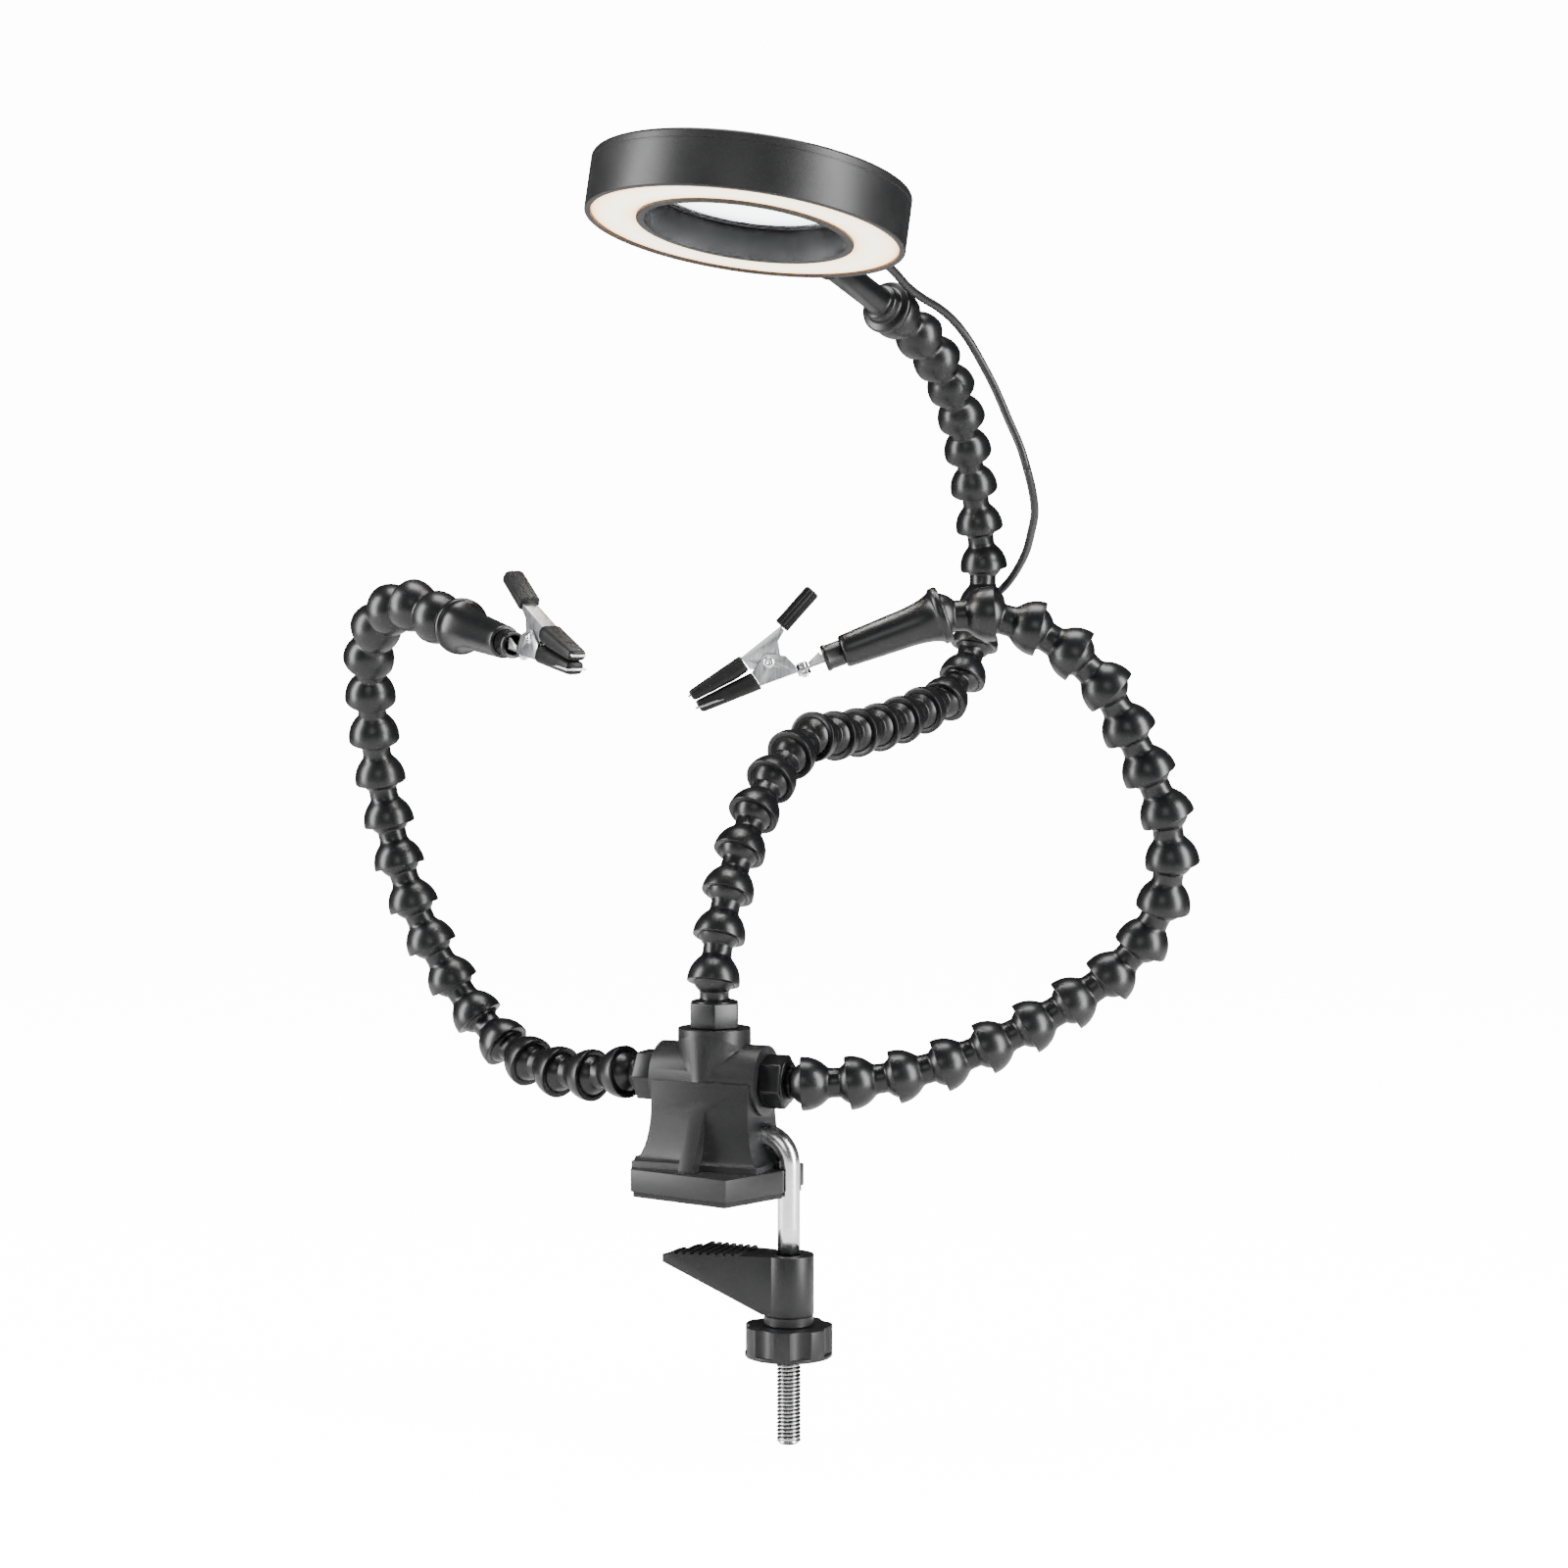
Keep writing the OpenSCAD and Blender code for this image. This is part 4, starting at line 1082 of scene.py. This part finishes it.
def make_stalk():
    d = Vector((-(LAMP_REACH - RING_R), 0, STALK_RISE)).normalized()
    turn = Matrix.Rotation(math.atan2(d.y, d.x), 4, "Z") @ Matrix.Rotation(math.acos(d.z), 4, "Y")
    place = AT_LAMP @ turn
    rim_out = math.sqrt(BEAD_R ** 2 - RIM_DROP ** 2)
    rim_in = math.sqrt(SOCKET_R ** 2 - RIM_DROP ** 2)
    lip = (rim_out - rim_in) / 2
    low = -math.degrees(math.asin(RIM_DROP / BEAD_R))
    shell = arc(0, 0, BEAD_R, low + 1, 30, 8)
    profile = (arc((rim_out + rim_in) / 2, -RIM_DROP, lip, -180, 0, 8) + shell
               + [(8.0, 5.0), (8.6, 5.05), (9.1, 5.3), (9.3, 5.8), (9.3, 6.8), (9.1, 7.3), (8.6, 7.6),
                  (7.2, 7.75), (6.6, 8.1), (6.4, 8.8), (6.4, 11.2), (6.2, 11.7), (5.8, 12), (5.2, 12.2),
                  (4.8, 12.7), (4.7, 13.5), (4.7, STALK_L - 2), (5.4, STALK_L - 1.2),
                  (5.6, STALK_L - 0.4), (PASSAGE_R, STALK_L - 0.4), (PASSAGE_R, 7)]
               + arc(0, 0, SOCKET_R, 68, low, 12))
    profile.append(profile[0])
    mesh_piece("stalk_body", *lathe(profile, 48, place), "lamp_head", GLOSS,
               stands_for=("lamp_stalk",), slot="gloss_black_plastic")


def make_housing():
    inner = BARREL_R + 0.1
    h = RING_H
    profile = ([(RING_R - WALL_T, 0.15), (RING_R - WALL_T + 0.15, 0), (RING_R - 0.5, 0)]
               + arc(RING_R - 0.5, 0.5, 0.5, -90, 0, 4)
               + [(RING_R, h - 3.5), (RING_R - 0.12, h - 3.4), (RING_R - 0.12, h - 3.1), (RING_R, h - 3.0)]
               + arc(RING_R - 1.2, h - 1.2, 1.2, 0, 90, 8)
               + [(RING_R - 4.5, h), (RING_R - 4.7, h - 0.3), (RING_R - 5.3, h - 0.3), (RING_R - 5.5, h),
                  (inner + 1.6, h), (inner + 1.4, h - 0.3), (inner + 0.9, h - 0.3), (inner + 0.7, h),
                  (inner + 0.2, h),
                  (inner, h - 0.2), (inner, 0.1), (inner + 0.1, h - COVER_T), (RING_R - WALL_T, h - COVER_T),
                  (RING_R - WALL_T, 0.15)])
    ring = mesh_piece("housing_shell", *lathe(profile, 144, AT_RING), "lamp_head", SATIN,
                      stands_for=("lamp_housing",), slot="matte_black_plastic")
    smooth_by_angle(ring, 40)
    # screws in the top cover
    for k in range(4):
        a = math.radians(45 + 90 * k)
        at = AT_RING @ Matrix.Translation(mm(43.8 * math.cos(a), 43.8 * math.sin(a), h))
        pan = [(0, 0.02), (0.35, 0.02), (0.5, 0.28), (1.2, 0.3), (1.55, 0.1), (1.6, -0.1), (0, -0.1)]
        head = lathe(pan, 24, at)
        mesh_piece(f"cover_screw_{k + 1}", *head, "lamp_head", BRIGHT, slot="bright_steel")
    # strain relief where the lead leaves the wall
    start = Vector(BOW_POINTS[0]) * MM
    out = (Vector(BOW_POINTS[1]) - Vector(BOW_POINTS[0])).normalized()
    at = aim(tuple(start / MM), tuple(out))
    boot = [(0, -1.5), (3.1, -1.5), (3.1, 0.6), (2.9, 1.0), (2.5, 1.3), (2.4, 1.8), (2.5, 2.3), (2.3, 2.6),
            (2.2, 3.1), (2.3, 3.6), (2.1, 3.9), (2.0, 4.4), (1.52, 4.7), (0, 4.7)]
    mesh_piece("lead_boot", *lathe(boot, 32, at), "lamp_head", RUBBER, slot="black_rubber")


def make_barrel():
    h = RING_H
    profile = [(LENS_R + 2, 0.2), (LENS_R + 2.3, 0), (BARREL_R - 0.3, 0), (BARREL_R, 0.3),
               (BARREL_R, h - 0.3), (BARREL_R - 0.3, h), (LENS_R + 0.4, h), (LENS_R, h - 0.4),
               (LENS_R, LENS_Z + 2.2), (LENS_R + 0.1, LENS_Z + 2.1),
               (LENS_R + 0.1, LENS_Z - 1.9), (LENS_R + 0.3, LENS_Z - 2.1),
               (LENS_R + 2, LENS_Z - 2.1), (LENS_R + 2, 0.2)]
    barrel = mesh_piece("barrel_ring", *lathe(profile, 128, AT_RING), "lamp_head", SATIN,
                        stands_for=("lamp_barrel",), slot="matte_black_plastic")
    smooth_by_angle(barrel, 40)


def make_diffuser():
    """Frosted ring, slightly domed; its texture runs from the inner edge to the outer one."""
    inner, outer = BARREL_R + 0.15, RING_R - WALL_T - 0.15
    steps = 14
    bottom = [(inner + (outer - inner) * k / steps, 0.9 - 0.6 * math.sin(math.pi * k / steps))
              for k in range(steps + 1)]
    profile = bottom + [(outer, 2.2), (inner, 2.2), bottom[0]]
    verts, faces = lathe(profile, 144, AT_RING)
    ring = mesh_piece("diffuser_ring", verts, faces, "lamp_head", DIFFUSER,
                      stands_for=("lamp_diffuser",), slot="diffuser_white")
    back = AT_RING.inverted()
    layer = ring.data.uv_layers.new(name="across")
    for loop in ring.data.loops:
        local = back @ ring.data.vertices[loop.vertex_index].co
        across = (math.hypot(local.x, local.y) / MM - inner) / (outer - inner)
        layer.data[loop.index].uv = (across, math.atan2(local.y, local.x) / (2 * math.pi) + 0.5)


def make_lens():
    """Biconvex glass with a ground edge."""
    edge = 1.0
    big = (LENS_R ** 2 + LENS_BULGE ** 2) / (2 * LENS_BULGE)
    half = math.asin(LENS_R / big)
    steps = 24
    lower = [(big * math.sin(half * k / steps),
              LENS_Z - edge - LENS_BULGE + big * (1 - math.cos(half * k / steps))) for k in range(steps + 1)]
    upper = [(r, 2 * LENS_Z - z) for r, z in reversed(lower)]
    mesh_piece("lens_body", *lathe(lower + upper, 96, AT_RING), "lamp_head", GLASS,
               stands_for=("lamp_lens",), slot="lens_glass")
    smooth_by_angle(bpy.data.objects["lens_body"], 40)


def make_board():
    softened("lamp_led_board", "led_board", BOARD, 0.15, 1)


make_stalk()
make_housing()
make_barrel()
make_diffuser()
make_lens()
make_board()


# ---- Plug ----


def make_plug():
    softened("usb_grip", "plug_grip", SATIN, 1.4, 4)
    softened("usb_shell", "plug_shell", BRIGHT, 0.2, 2)


make_plug()
